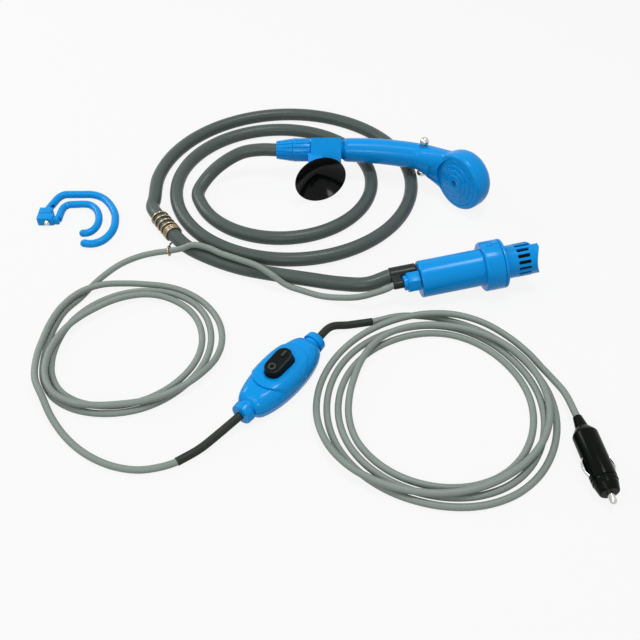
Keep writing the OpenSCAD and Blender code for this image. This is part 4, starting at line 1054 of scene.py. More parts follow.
@dataclass
class Pump:
    """Submersible pump: casing, strainer, cable gland and heat-shrink boot.

    Attributes:
        body_r: Radius of the body.
        body_l: Length of the body up to the collar.
        collar_r: Radius of the collar.
        collar_l: Length of the collar.
        mouth_r: Bore of the collar.
        bore_r: Bore of the body.
        rear_wall: Thickness of the rear face.
        edge_r: Rounding of the rear edge.
        mark_turn: Angle of the lock mark round the collar.
        lock_mark: Corners of the lock mark's boxes: outwards, across and along.
        rim_l: Length of the strainer's rim.
        skirt_r: Radius of the strainer's skirt in the collar.
        skirt_l: Length of the skirt.
        strainer_r: Radius of the basket.
        strainer_l: Length of the basket with its foot.
        strainer_wall: Wall of the basket.
        slots: Number of slots.
        slot_w: Width of a slot.
        slot_l: Length of a slot.
        slot_margin: Solid end beyond the slots.
        foot_rise: Height of the foot.
        foot_root: Depth of the foot in the basket.
        foot_middle: Angle of the foot's middle.
        foot_span: Angle that the foot takes up.
        foot_arch: Height of the arch in the foot.
        foot_half: Half width of the arch, as a share of the radius.
        hose_port: Hose on the rear face, up and away.
        gland_port: Cable gland on the rear face, up and away.
        nut_flat: Distance from the gland nut's axis to its flats.
        nut_ends: Ends of the nut along the axis.
        nut_turn: Turn of the nut.
        nut_collar: Radius and rear end of its collar.
        boot_l: Length of the boot.
        boot_r: Radius of the boot over the hose and over the cable.
        boot_fork: Place where the boot's two arms part.
        place: Rear face over the floor in the layout.
        yaw: Turn of the pump on the floor.
        frame: Axes of the pump, with z along it.
    """

    body_r: float = 17.5
    body_l: float = 60.0
    collar_r: float = 23.5
    collar_l: float = 17.5
    mouth_r: float = 19.15
    bore_r: float = 15.5
    rear_wall: float = 4.0
    edge_r: float = 1.6
    mark_turn: float = 169.0
    lock_mark: tuple[tuple[Point, Point], ...] = (
        ((0, -2.4, -2.6), (0.8, 2.4, 1.2)), ((0, -1.9, 1.2), (0.75, -1.1, 3.0)),
        ((0, 1.1, 1.2), (0.75, 1.9, 3.0)), ((0, -1.9, 3.0), (0.75, 1.9, 3.8)),
        ((0, -0.4, 5.2), (0.7, 0.4, 8.8)))
    rim_l: float = 2.9
    skirt_r: float = 18.85
    skirt_l: float = 6.0
    strainer_r: float = 15.75
    strainer_l: float = 33.5
    strainer_wall: float = 2.5
    slots: int = 16
    slot_w: float = 3.4
    slot_l: float = 14.3
    slot_margin: float = 3.2
    foot_rise: float = 4.6
    foot_root: float = 5.7
    foot_middle: float = -110.0
    foot_span: float = 155.0
    foot_arch: float = 4.2
    foot_half: float = 0.86
    hose_port: tuple[float, float] = (1.5, 10.0)
    gland_port: tuple[float, float] = (5.5, -6.5)
    nut_flat: float = 9.0
    nut_ends: tuple[float, float] = (-12.7, -1.2)
    nut_turn: float = -17.0
    nut_collar: tuple[float, float] = (7.0, -16.2)
    boot_l: float = 26.0
    boot_r: tuple[float, float] = (8.0, 4.2)
    boot_fork: float = -16.0
    place: tuple[float, float] = (93.0, 36.0)
    yaw: float = 10.0
    frame: Matrix = field(init=False)

    def __post_init__(self) -> None:
        """Lay the pump on its rear edge and its collar."""
        tilt = math.asin((self.collar_r - self.body_r) / self.body_l)
        rear = (*self.place, self.body_r * math.cos(tilt) - self.edge_r * math.sin(tilt))
        self.frame = frame_at(rear, self.yaw, 90.0 - math.degrees(tilt))

    def point(self, up: float, far: float, s: float) -> Vector:
        """Point of the layout, from offsets up, away and along the axis."""
        return in_layout(self.frame @ Vector((-up, far, s)))

    def port(self, place: tuple[float, float]) -> Matrix:
        """Axes of a port on the rear face."""
        return shift(-place[0], place[1], 0)

    def build(self) -> None:
        """Make the pump's visible pieces."""
        self._casing()
        self._strainer()
        self._gland()
        self._boot()

    def _casing(self) -> None:
        """Body with its collar and the lock mark."""
        end, floor = self.body_l + self.collar_l, self.body_l + 2
        shell = Shape().lathe(rounded([
            (0, 0, 0), (self.body_r, 0, self.edge_r), (self.body_r, self.body_l, 0.7),
            (self.collar_r, self.body_l, 2.0), (self.collar_r, end, 0.6), (self.mouth_r, end, 0.4),
            (self.mouth_r, floor, 0), (self.bore_r, floor, 0), (self.bore_r, self.rear_wall, 0),
            (0, self.rear_wall, 0)]), segments=128)
        mark = turn(self.mark_turn, "Z") @ shift(self.collar_r - 0.35, 0, self.body_l + 8)
        for low, high in self.lock_mark:
            shell.box(low, high, mark)
        settle(ease(shell.made("pump_casing"), 0.12, 2, 50.0), self.frame, BLUE, Body.KIT, ["pump_casing"])

    def _strainer(self) -> None:
        """Slotted basket with its rim and foot."""
        start = self.body_l + self.collar_l + 0.4
        rim_end = start + self.rim_l
        end = rim_end + self.strainer_l
        basket_end = end - self.foot_rise
        inner = self.strainer_r - self.strainer_wall
        basket = Shape().lathe(rounded([
            (0, basket_end - 2, 0), (inner, basket_end - 2, 3.0), (inner, start - self.skirt_l, 0),
            (self.skirt_r, start - self.skirt_l, 0), (self.skirt_r, start, 0), (self.collar_r, start, 0.5),
            (self.collar_r, rim_end, 0.9), (self.strainer_r, rim_end, 1.0),
            (self.strainer_r, basket_end, 4.7), (0, basket_end, 0)]), segments=128)
        piece = basket.made("strainer_cap")
        middle = basket_end - self.slot_margin - self.slot_l / 2
        RoundCuts.apply(piece, BLUE, Count=self.slots, Turn=math.pi / self.slots, Width=self.slot_w,
                        Height=self.slot_l, Corner=1.5, From=(8.0, 0.0, middle), To=(20.0, 0.0, middle))
        join(piece, self._foot(end, basket_end), Join.UNION)
        settle(piece, self.frame, BLUE, Body.STRAINER, ["strainer_cap"])

    def _foot(self, end: float, basket_end: float) -> bpy.types.Object:
        """Half-round foot of the strainer, arched where it stands.

        Args:
            end: Outer end of the foot along the axis.
            basket_end: End of the basket.

        Returns:
            The foot.
        """
        half, steps, soft = self.strainer_r * self.foot_half, 60, 0.4
        bow = (half * half + self.foot_arch ** 2) / 2 / self.foot_arch
        low, high = self.strainer_r - self.strainer_wall + 0.25, self.strainer_r - 0.25
        root = basket_end - self.foot_root
        rings = []
        for k in range(steps + 1):
            a = math.radians(self.foot_span * (k / steps - 0.5))
            tops = [end - self.foot_arch + bow - math.sqrt(bow * bow - min(abs(r * math.sin(a)), half) ** 2)
                    for r in (low, high)]
            a += math.radians(self.foot_middle)
            rings.append([(r * math.cos(a), r * math.sin(a), z) for r, z in (
                (low, root), (high, root), (high, tops[1] - soft), (high - soft, tops[1]),
                (low + soft, tops[0]), (low, tops[0] - soft))])
        return Shape().loft(rings).made("foot")

    def _gland(self) -> None:
        """Six-sided gland nut with its stepped rear collar."""
        at = self.port(self.gland_port)
        r, (first, last) = self.nut_flat / math.cos(math.pi / 6), self.nut_ends
        outline = [(r * math.cos(a), r * math.sin(a)) for a in
                   (math.radians(60 * k + self.nut_turn) for k in range(6))]
        nut = ease(Shape().prism(outline, last - first, at @ shift(0, 0, first)).made("gland_nut"), 0.7, 3)
        ring_r, rear = self.nut_collar
        collar = Shape().lathe(rounded([(0, rear, 0), (ring_r, rear, 0.8), (ring_r, first + 0.7, 0),
                                        (0, first + 0.7, 0)]), at, 64)
        join(nut, collar.made("nut_collar"), Join.UNION)
        settle(nut, self.frame, BLUE, Body.KIT, ["gland_nut"])

    def _boot(self) -> None:
        """Heat-shrink sleeve drawn down over hose and cable."""
        hose_at, cable_at = self.port(self.hose_port), self.port(self.gland_port)
        hose_r, cable_r = self.boot_r
        rear, fork, sides = -self.boot_l, self.boot_fork, 24
        form = Shape()
        for at, r, end, soft in ((hose_at, hose_r, -0.5, 0.8), (cable_at, cable_r, fork, 0.5)):
            form.lathe(rounded([(0, rear, 0), (r, rear, 0.5), (r, end, soft), (0, end, 0)]), at, 48)
        web, heights = [], (rear + 0.4, fork - 1.0)
        for at, r in ((hose_at, 4.0), (cable_at, 2.6)):
            for k in range(sides):
                a = math.tau * k / sides
                web.extend(at @ Vector((r * math.cos(a), r * math.sin(a), z)) for z in heights)
        form.hull(web)
        settle(melt(form.made("pump_boot"), 0.45, 4), self.frame, SHRINK, Body.KIT, ["pump_boot"], 60.0)


# Inline switch


class OnCord:
    """A sub-assembly that a cord carries.

    Attributes:
        frame: Axes of the sub-assembly.
        pieces: Its finished pieces, kept for the cord.
    """

    frame: Matrix
    pieces: list[bpy.types.Object]

    def add(self, node: str, piece: bpy.types.Object, finish: Finish, body: Body, crease: float = 32.0,
            name: str = "") -> None:
        """Settle a piece in place of a node and keep it."""
        self.pieces.append(settle(piece, self.frame, finish, body, [node], crease, name))


@dataclass
class Switch(OnCord):
    """Inline rocker switch.

    Attributes:
        place: Middle of the switch on the floor, in the layout.
        yaw: Turn of the switch on the floor.
        length: Length of the shell.
        width: Width of the shell.
        blunt: Share of the length at which the ends turn blunt.
        base_h: Height of the lower shell.
        cover_h: Height of the upper shell.
        rim_h: Height of the raised rim over it.
        rim_size: Half length and half width of the rim.
        rocker_l: Length of the rocker.
        rocker_w: Width of the rocker.
        rocker_h: Height of the rocker.
        rocker_sink: Depth of the rocker under the rim.
        dish: Depth of the hollow in the rocker's top.
        swing: Swing of the rocker, in degrees.
        pivot_z: Height of the rocker's pin.
        mark_h: Height of the marks, from the bottom of the hollow.
        ring_x: Middle of the ring mark along the rocker.
        ring_r: Inner and outer radius of the ring mark.
        bar_x: Ends of the bar mark along the rocker.
        bar_half: Half width of the bar mark.
        ferrule: Radius, length and rounding at each corner of a ferrule.
        ferrule_in: Depth of a ferrule in the shell.
        cord_out: Distance from the middle to where a cord enters.
        pieces: The finished pieces.
    """

    place: tuple[float, float, float] = (-34.0, -76.0, 0.0)
    yaw: float = 53.0
    length: float = 90.0
    width: float = 41.0
    blunt: float = 0.87
    base_h: float = 11.0
    cover_h: float = 12.0
    rim_h: float = 2.0
    rim_size: tuple[float, float] = (26.0, 22.0)
    rocker_l: float = 29.0
    rocker_w: float = 15.5
    rocker_h: float = 11.5
    rocker_sink: float = 2.5
    dish: float = 1.0
    swing: float = 12.0
    pivot_z: float = 17.0
    mark_h: float = 1.6
    ring_x: float = -8.0
    ring_r: tuple[float, float] = (1.8, 3.5)
    bar_x: tuple[float, float] = (5.0, 11.2)
    bar_half: float = 1.0
    ferrule: tuple[Point, ...] = (
        (0, 0, 0), (8, 0, 0), (8, 6.2, 0), (10, 6.2, 0.6), (9.4, 13, 1.2), (0, 13, 0))
    ferrule_in: float = 6.0
    cord_out: float = 52.0
    pieces: list[bpy.types.Object] = field(default_factory=list)

    def __post_init__(self) -> None:
        """Place the switch."""
        self.frame = frame_at(self.place, self.yaw)
        self.top = self.base_h + self.cover_h

    def cord_end(self, side: int) -> Vector:
        """Point of the layout where a cord enters the ferrule on one side."""
        return in_layout(self.frame @ Vector((side * self.cord_out, 0.0, self.base_h)))

    def oval(self, along: float, across: float, z: float, count: int = 96) -> list[Point]:
        """Ring of the shell at one height, with blunt ends.

        Args:
            along: Share of the length.
            across: Share of the width.
            z: Height of the ring.
            count: Points of the ring.

        Returns:
            The points.
        """
        ring = []
        end, soft = self.length / 2 * along, 14
        for k in range(count):
            x = end / self.blunt * math.cos(math.tau * k / count)
            x *= end / (abs(x) ** soft + end ** soft) ** (1 / soft)
            ring.append((x, self.width / 2 * across * math.sin(math.tau * k / count), z))
        return ring

    def build(self) -> None:
        """Make the visible pieces of the switch."""
        base = Shape().loft([self.oval(*s) for s in (
            (0.82, 0.72, 0.0), (0.86, 0.79, 0.3), (0.93, 0.9, 2.0), (0.98, 0.97, 5.0),
            (1, 1, self.base_h - 0.5), (0.985, 0.965, self.base_h - 0.1))])
        self.add("switch_base", base.made("switch_base"), BLUE, Body.KIT, 40.0)
        self._cover()
        self._ferrules()
        self._rocker()

    def _cover(self) -> None:
        """Upper shell with the raised rim round the rocker."""
        low, top, count = self.base_h, self.top, 96
        rings = [(0.985, 0.965, low), (1, 1, low + 0.4), (0.985, 0.975, low + 4), (0.962, 0.935, low + 6),
                 (0.93, 0.88, low + 8), (0.885, 0.8, low + 9.8), (0.82, 0.7, top - 1),
                 (0.76, 0.615, top - 0.25), (0.72, 0.58, top)]
        cover = Shape().loft([self.oval(*s) for s in rings]).made("switch_cover")
        raised = [(0.9, 0.9, low + 2), (0.985, 0.985, low + 4), (0.99, 0.99, low + 5),
                  (0.975, 0.965, low + 7), (0.95, 0.93, low + 8.6), (0.915, 0.87, low + 10.8),
                  (0.87, 0.8, top + 0.4), (0.83, 0.73, top + 1.5), (0.79, 0.67, top + self.rim_h)]
        rim = Shape().loft([self.oval(*s) for s in raised]).made("rim")
        along, across = self.rim_size
        outline = [(along * math.cos(math.tau * k / count), across * math.sin(math.tau * k / count))
                   for k in range(count)]
        around = Shape().box((-80, -60, 0), (80, 60, 60)).made("around")
        join(around, Shape().prism(outline, 80.0, shift(0, 0, -10)).made("middle"), Join.DIFFERENCE)
        join(rim, around, Join.DIFFERENCE)
        join(cover, ease(rim, 0.35, 2, 40.0), Join.UNION)
        well = Shape().prism(self._stadium(self.rocker_l + 3.0, self.rocker_w + 0.8), 14.0,
                             shift(0, 0, self.base_h + 1))
        join(cover, well.made("well"), Join.DIFFERENCE)
        self.add("switch_cover", cover, BLUE, Body.KIT, 40.0)

    def _stadium(self, length: float, width: float, count: int = 24) -> list[tuple[float, float]]:
        """Outline with straight sides and half-round ends.

        Args:
            length: Length over the ends.
            width: Width over the sides.
            count: Steps of each end.

        Returns:
            The points.
        """
        reach, r = (length - width) / 2, width / 2
        return [(side * reach + r * math.cos(a), r * math.sin(a))
                for side, first in ((1, -90), (-1, 90))
                for a in (math.radians(first + 180 * k / count) for k in range(count + 1))]

    def _ferrules(self) -> None:
        """Cord ferrules at both ends."""
        form = Shape()
        for k in (0, 1):
            at = turn(180 * k, "Z") @ shift(self.length / 2 - self.ferrule_in, 0, self.base_h) @ turn(90, "Y")
            form.lathe(rounded(self.ferrule), at, 64)
        self.add("switch_ferrules", form.made("switch_ferrules"), BLUE, Body.KIT)

    def _rocker(self) -> None:
        """Rocker with its two raised marks, whose lighter grey is painted sheen."""
        low, high = self.top + self.rim_h - self.rocker_sink, self.rocker_h
        lean = shift(0, 0, self.pivot_z) @ turn(-self.swing / 2, "Y") @ shift(0, 0, -self.pivot_z)
        foot = ((0.3, 0.0), (0.0, 0.4))
        crown = ((0.0, high - 1.2), (0.25, high - 0.5), (0.9, high - 0.1),
                 (2.6, high), (4.6, high), (6.6, high))
        rings = []
        for part, dip in ((foot, 0.0), (crown, self.dish)):
            for inset, z in part:
                outline = self._stadium(self.rocker_l - 2 * inset, self.rocker_w - 2 * inset)
                rings.append([(x, y, low + z - dip * (1 - (2 * x / self.rocker_l) ** 2)) for x, y in outline])
        self.add("rocker", Shape().loft(rings, lean).made("rocker"), KEY_BLACK, Body.ROCKER)
        floor = low + high - self.dish
        crest, half = floor + self.mark_h, self.bar_half
        inner, outer = self.ring_r
        first, last = self.bar_x
        ring = rounded([(inner, floor, 0), (inner, crest, 0.3), (outer, crest, 0.3), (outer, floor, 0)])
        bar = rounded([(first, -half, 0.5), (last, -half, 0.5), (last, half, 0.5), (first, half, 0.5)])
        marks = Shape().lathe([*ring, (inner, floor)], lean @ shift(self.ring_x, 0, 0), 40)
        marks.prism(bar, self.mark_h, lean @ shift(0, 0, floor))
        # The marks' relief is real; their lighter grey finish is painted sheen on the rocker's black plastic.
        self.add("rocker", marks.made("rocker_marks"), MARK_PAINTED_SHEEN, Body.ROCKER, name="rocker_marks")


# Plug


@dataclass
class Plug(OnCord):
    """12 V accessory plug.

    Attributes:
        place: Cable end in the layout.
        yaw: Turn of the plug on the floor.
        radius: Radius of the barrel.
        boot_l: Length of the strain relief.
        boot_r: Radius of the strain relief at the cable and at the barrel.
        core: Radius and length of the relief's root in the barrel.
        barrel_l: Length of the barrel with its shoulder.
        neck_r: Radius of the barrel at the strain relief.
        shoulder_l: Length of the shoulder.
        guide: Radius and length of the ring that the nose seats on.
        nose_gap: Gap between barrel and nose.
        nose_l: Length of the nose.
        lip_l: Thickness of the nose round the tip.
        spring_r: Bore of the nose for the spring.
        tip_r: Radius of the tip.
        tip_out: How far the tip stands out.
        tip_play: Gap round the tip.
        tip_sink: Gap between the tip's flange and the nose.
        flange: Radius and length of the tip's flange.
        contact_s: Distance from the barrel's end to the middle of a side contact.
        slot: Width and length of a contact's slot.
        contact: Length, bow, thickness and half width of a contact.
        pieces: The finished pieces.
    """

    place: tuple[float, float, float] = (211.0, -119.0, 10.5)
    yaw: float = -82.0
    radius: float = 10.5
    boot_l: float = 12.0
    boot_r: tuple[float, float] = (3.8, 5.6)
    core: tuple[float, float] = (3.6, 3.0)
    barrel_l: float = 48.0
    neck_r: float = 6.4
    shoulder_l: float = 6.0
    guide: tuple[float, float] = (8.5, 4.2)
    nose_gap: float = 0.4
    nose_l: float = 12.0
    lip_l: float = 2.4
    spring_r: float = 4.9
    tip_r: float = 2.8
    tip_out: float = 9.5
    tip_play: float = 0.06
    tip_sink: float = 0.3
    flange: tuple[float, float] = (4.5, 1.6)
    contact_s: float = 12.5
    slot: tuple[float, float] = (3.6, 19.0)
    contact: tuple[float, float, float, float] = (17.0, 2.6, 0.8, 1.5)
    pieces: list[bpy.types.Object] = field(default_factory=list)

    def __post_init__(self) -> None:
        """Place the plug and find the ends of its barrel and its gap."""
        self.frame = frame_at(self.place, self.yaw, 90.0)
        self.end = self.boot_l + self.barrel_l
        self.nose = self.end + self.nose_gap

    def build(self) -> None:
        """Make the visible pieces of the plug."""
        self._boot()
        self._barrel()
        self._nose()
        self._tip()
        self.add("left_contact", self._contact("left_contact", 0.0), STEEL, Body.LEFT_CONTACT)
        self.add("right_contact", self._contact("right_contact", 180.0), STEEL, Body.RIGHT_CONTACT)

    def _boot(self) -> None:
        """Tapered strain relief."""
        start, (root_r, root_l) = self.boot_l, self.core
        boot = Shape().lathe(rounded([
            (0, 0, 0), (self.boot_r[0], 0, 0.4), (self.boot_r[1], start, 0), (root_r, start, 0),
            (root_r, start + root_l, 0), (0, start + root_l, 0)]), segments=64)
        self.add("plug_boot", boot.made("plug_boot"), BLACK, Body.KIT)

    def _barrel(self) -> None:
        """Barrel with its shoulder, the slots of the contacts and the ring for the nose."""
        start, end, (guide_r, guide_l) = self.boot_l, self.end, self.guide
        barrel = Shape().lathe(rounded([
            (0, start, 0), (self.neck_r, start, 0.8), (self.radius, start + self.shoulder_l, 3.5),
            (self.radius, end, 0.4), (guide_r, end, 0), (guide_r, end + guide_l, 0.4),
            (0, end + guide_l, 0)]), segments=128).made("plug_barrel")
        middle, (width, length) = end - self.contact_s, self.slot
        RoundCuts.apply(barrel, BLACK, Count=2, Turn=math.pi / 2, Width=width, Height=length, Corner=0.5,
                        From=(4.9, 0.0, middle), To=(15.0, 0.0, middle))
        self.add("plug_barrel", barrel, BLACK, Body.KIT)

    def _nose(self) -> None:
        """Stepped nose, hollow for the spring and the tip."""
        r, start, end = self.radius, self.nose, self.nose + self.nose_l
        bore, seat = self.guide[0] + 0.15, start + 5.8
        hole, lip = self.tip_r + self.tip_play, end - self.lip_l
        profile = rounded([
            (bore, seat, 0), (bore, start, 0.2), (r - 0.2, start, 0.4), (r - 0.2, start + 3, 0.5),
            (r - 1, start + 3.4, 0.3), (r - 1, start + 5.5, 1.2), (r - 2.6, end, 1.4), (hole, end, 0.2),
            (hole, lip, 0), (self.spring_r, lip, 0), (self.spring_r, seat, 0)])
        nose = Shape().lathe([*profile, (bore, seat)], segments=128)
        self.add("plug_nose", nose.made("plug_nose"), BLACK, Body.KIT)

    def _tip(self) -> None:
        """Sprung tip with its flange and round end."""
        r, (flange_r, flange_l), steps = self.tip_r, self.flange, 10
        nose_end = self.nose + self.nose_l
        start = nose_end - self.lip_l - flange_l - self.tip_sink
        reach = nose_end - self.tip_sink + self.tip_out - r
        dome = [(r * math.cos(a), reach + r * math.sin(a)) for a in
                (math.pi / 2 * k / steps for k in range(steps))]
        flange = [(0, start), (flange_r, start), (flange_r, start + flange_l), (r, start + flange_l)]
        tip = Shape().lathe([*flange, *dome, (0, reach + r)], segments=64)
        self.add("plug_tip", tip.made("plug_tip"), CHROME, Body.TIP)

    def _contact(self, name: str, angle: float) -> bpy.types.Object:
        """Bowed side contact.

        Args:
            name: Name of the contact.
            angle: Turn round the plug, in degrees.

        Returns:
            The contact.
        """
        length, rise, thick, half_w = self.contact
        bow, steps = (rise * rise + length * length / 4) / 2 / rise, 32
        half = math.asin((length / 2) / bow)
        rings = []
        for i in range(steps + 1):
            a = -half + 2 * half * i / steps
            rings.append([(x, self.radius + rise - bow + r * math.cos(a),
                           self.end - self.contact_s + r * math.sin(a)) for x, r in (
                (-half_w, bow - thick), (half_w, bow - thick), (half_w, bow), (-half_w, bow))])
        return ease(Shape().loft(rings, turn(angle, "Z")).made(name), 0.2, 2)


# Handset


@dataclass
class Handset:
    """Hand shower with its hose nut, rose, ball studs and suction holder.

    Attributes:
        place: Start of the handle in the layout.
        handle_r: Radius of the handle.
        handle_l: Length up to the neck.
        journal_r: Radius of the handle under the holder.
        grip_swell: Growth of the handle's radius up to the neck.
        bend_rate: Fall of the handle's axis per square millimetre.
        head_r: Radius of the head.
        head_depth: Depth of the head.
        crown_r: Rounding of the head's back.
        face_run: Distance from the neck to the middle of the face, along the handle.
        face_drop: Distance from the neck to the middle of the face, square to it.
        face_tilt: Turn of the face, in degrees.
        rose_r: Radius of the rose.
        rose_hub: Radius of the rose's top step.
        screw_r: Bore of the rose for its screw.
        nut_l: Length of the hose nut.
        nut_r: Radius of the hose nut at the hose and at the handle.
        flutes: Flutes of nut and sleeve.
        flute_l: Length of the fluted sleeve.
        flute_r: Radius of the fluted sleeve.
        recess: Start, end and depth of the thumb recess, from the neck.
        ball_r: Radius of the ball studs.
        stem: Radius and length of a stud's stem.
        holder_l: Length of the holder.
        holder_r: Radius of the holder.
        holder_bore: Bore of the holder.
        cup_r: Radius of the suction cup.
        cup_depth: Depth of the suction cup.
        cup_base: Distance from the handle's axis to the cup.
        cup_back: How far the cup's axis starts behind the holder's middle.
        cup_tilt: Turn of the cup's axis, in degrees.
    """

    place: tuple[float, float, float] = HANDSET_START
    handle_r: float = 12.5
    handle_l: float = 157.0
    journal_r: float = 9.5
    grip_swell: float = 1.5
    bend_rate: float = 0.0018
    head_r: float = 31.0
    head_depth: float = 27.0
    crown_r: float = 15.0
    face_run: float = 30.4
    face_drop: float = 44.7
    face_tilt: float = 142.0
    rose_r: float = 25.0
    rose_hub: float = 9.0
    screw_r: float = 3.6
    nut_l: float = 18.0
    nut_r: tuple[float, float] = (9.4, 12.0)
    flutes: int = 16
    flute_l: float = 18.0
    flute_r: float = 12.3
    recess: tuple[float, float, float] = (4.0, 18.5, 1.3)
    ball_r: float = 4.7
    stem: tuple[float, float] = (2.0, 8.1)
    holder_l: float = 32.5
    holder_r: float = 12.8
    holder_bore: float = 9.8
    cup_r: float = 27.5
    cup_depth: float = 17.0
    cup_base: float = 33.0
    cup_back: float = 19.4
    cup_tilt: float = 74.0

    def __post_init__(self) -> None:
        """Place the handset and find where its parts begin."""
        self.frame = frame_at(self.place, pitch=90.0)
        self.sleeve_end = self.nut_l + self.flute_l
        self.holder_s = self.sleeve_end + 1
        self.grip_s = self.sleeve_end + self.holder_l + 4
        self.neck_r = self.handle_r + self.grip_swell
        self.neck_y = self.bend(self.handle_l)
        middle = shift(0, self.neck_y - self.face_drop, self.handle_l + self.face_run)
        self.face = middle @ turn(self.face_tilt, "X")

    def bend(self, s: float) -> float:
        """Fall of the handle's axis at a point along it."""
        return -self.bend_rate * max(s - self.grip_s, 0.0) ** 2

    def ring(self, r: float, s: float, count: int = 72) -> list[Point]:
        """Ring round the bent axis."""
        return [(r * math.cos(math.tau * k / count), self.bend(s) + r * math.sin(math.tau * k / count), s)
                for k in range(count)]

    def build(self) -> None:
        """Make the visible pieces of the handset."""
        self._nut()
        self._body()
        self._rose()
        self._studs()
        self._holder()

    def _nut(self) -> None:
        """Fluted, tapered hose nut."""
        (start_r, end_r), end = self.nut_r, self.nut_l - 0.3
        profile = rounded([(0, 0, 0), (start_r, 0, 0.8), (end_r, end, 0.5), (0, end, 0)])
        piece = Shape().lathe(profile, segments=96).made("hose_nut")
        RoundCuts.apply(piece, BLUE, Count=self.flutes, Turn=0.0, Width=1.5, Height=1.5, Corner=0.6,
                        From=(start_r - 0.1, 0.0, -1.0), To=(end_r + 0.15, 0.0, self.nut_l + 0.5))
        settle(piece, self.frame, BLUE, Body.KIT, ["hose_nut"])

    def _body(self) -> None:
        """Handle, neck and head in one skin, with the rose's seat and the fluted sleeve."""
        steps, arcs = 16, 10
        form = Shape()
        rings = [self.ring(self.journal_r, self.sleeve_end - 1), self.ring(self.journal_r, self.grip_s),
                 self.ring(self.handle_r - 0.6, self.grip_s), self.ring(self.handle_r, self.grip_s + 0.6)]
        for k in range(1, steps + 1):
            rings.append(self.ring(self.handle_r + self.grip_swell * math.sin(math.pi / 2 * k / steps),
                                   self.grip_s + (self.handle_l - self.grip_s) * k / steps))
        form.loft([*rings, self.ring(self.neck_r - 0.4, self.handle_l + 4)])
        form.hull(self._neck(0.0))
        r, depth, crown = self.head_r, self.head_depth, self.crown_r
        dome = [(r - crown + crown * math.cos(a), -depth + crown - crown * math.sin(a)) for a in
                (math.pi / 2 * k / arcs for k in range(arcs + 1))]
        form.lathe([(0, 0), (r - 2, 0), (r, -2.5), *dome, (0, -depth)], self.face, 96)
        body = melt(form.made("handset_body"), 0.8, 44)
        seat_r = self.rose_r + 0.35
        seat = Shape().lathe([(0, -3), (seat_r, -3), (seat_r, 14), (0, 14)], self.face, 128)
        join(body, seat.made("seat"), Join.DIFFERENCE)
        self._recess(body)
        join(body, self._sleeve(), Join.UNION)
        settle(body, self.frame, BLUE, Body.KIT, ["handset_body"], 40.0)

    def _sleeve(self) -> bpy.types.Object:
        """Fluted sleeve between the nut and the holder.

        Returns:
            The sleeve.
        """
        r, start, end = self.flute_r, self.nut_l, self.sleeve_end
        profile = rounded([(0, start, 0), (r, start, 0.6), (r, end + 0.5, 0.6), (0, end + 0.5, 0)])
        sleeve = Shape().lathe(profile, segments=96).made("fluted_sleeve")
        return RoundCuts.apply(sleeve, BLUE, Count=self.flutes, Turn=0.0, Width=1.8, Height=1.8, Corner=0.7,
                               From=(r + 0.1, 0.0, start - 1), To=(r + 0.1, 0.0, end + 2))

    def _neck(self, inset: float) -> list[Point]:
        """Points of the form that leads from the handle into the head.

        Args:
            inset: How far the points lie under the surface.

        Returns:
            The points, for a hull.
        """
        rows, sides = 16, 48
        points: list[Point] = []
        r = self.neck_r - inset
        for i in range(rows + 1):
            up = math.pi * i / rows
            for k in range(sides):
                a = math.tau * k / sides
                points.append((r * math.sin(up) * math.cos(a), self.neck_y + r * math.sin(up) * math.sin(a),
                               self.handle_l + r * math.cos(up)))
        back, front, crown = self.head_r - 12, self.head_r - 3.5, -self.head_depth
        for head_r, z in ((back, crown + 3), (back, crown + 11), (front, -13), (front, -7)):
            r = head_r - inset
            for k in range(sides):
                a = math.tau * k / sides
                points.append(self.face @ Vector((r * math.cos(a), r * math.sin(a), z - inset)))
        return points

    def _recess(self, body: bpy.types.Object) -> None:
        """Cut the shallow thumb recess on the near side of the neck.

        Args:
            body: Body of the handset.
        """
        start, end, deep = self.recess
        low, high = self.handle_l + start, self.handle_l + end
        outline = rounded([(-4.0, low, 4.5), (13.0, low, 2.0), (13.0, high, 2.0), (-4.0, high, 4.5)])
        window = Shape().prism(outline, 30.0, shift(0, self.neck_y - 4, 0) @ turn(90, "X")).made("window")
        core = Shape().hull(self._neck(deep)).made("core")
        rings = [self.ring(self.neck_r - deep, low - 12 + 4 * k) for k in range(5)]
        join(core, Shape().loft(rings).made("grip"), Join.UNION)
        join(window, core, Join.DIFFERENCE)
        join(body, window, Join.DIFFERENCE)

    def _rose(self) -> None:
        """Stepped spray plate with nozzles, and its screw."""
        count, rise, first = 3, 0.9, 0.2
        step = (self.rose_r - self.rose_hub) / count
        top: list[Point] = [(0, -3.0, 0), (self.rose_r, -3.0, 0)]
        for k in range(count + 1):
            inner = self.rose_r - step * (k + 1) if k < count else self.screw_r
            top.append((self.rose_r - step * k, first + rise * k, 0.5))
            top.append((inner, first + rise * k, 0.3))
        profile = rounded([*top, (self.screw_r, -0.8, 0), (0, -0.8, 0)], 3)
        plate = Shape().lathe(profile, segments=128).made("rose_plate")
        for k in range(count):
            r = self.rose_r - step * (k + 0.5)
            RoundCuts.apply(plate, BLUE, Count=16 - 5 * k, Turn=0.0, Width=1.1, Height=1.1, Corner=0.4,
                            From=(r, 0.0, -4.0), To=(r, 0.0, 6.0))
        settle(plate, self.frame @ self.face, BLUE, Body.KIT, ["rose_plate"])
        screw = Shape().lathe(rounded([(0, -14, 0), (1.5, -14, 0), (1.5, -0.75, 0), (2.7, -0.75, 0.2),
                                       (2.7, 0.2, 0.6), (0, 0.65, 0)]), segments=48).made("rose_screw")
        for a in (0, 90):
            slot = Shape().box((-1.6, -0.3, 0.0), (1.6, 0.3, 2.0), turn(a + 20, "Z"))
            join(screw, slot.made("slot"), Join.DIFFERENCE)
        settle(screw, self.frame @ self.face, CHROME, Body.KIT, ["rose_screw"])

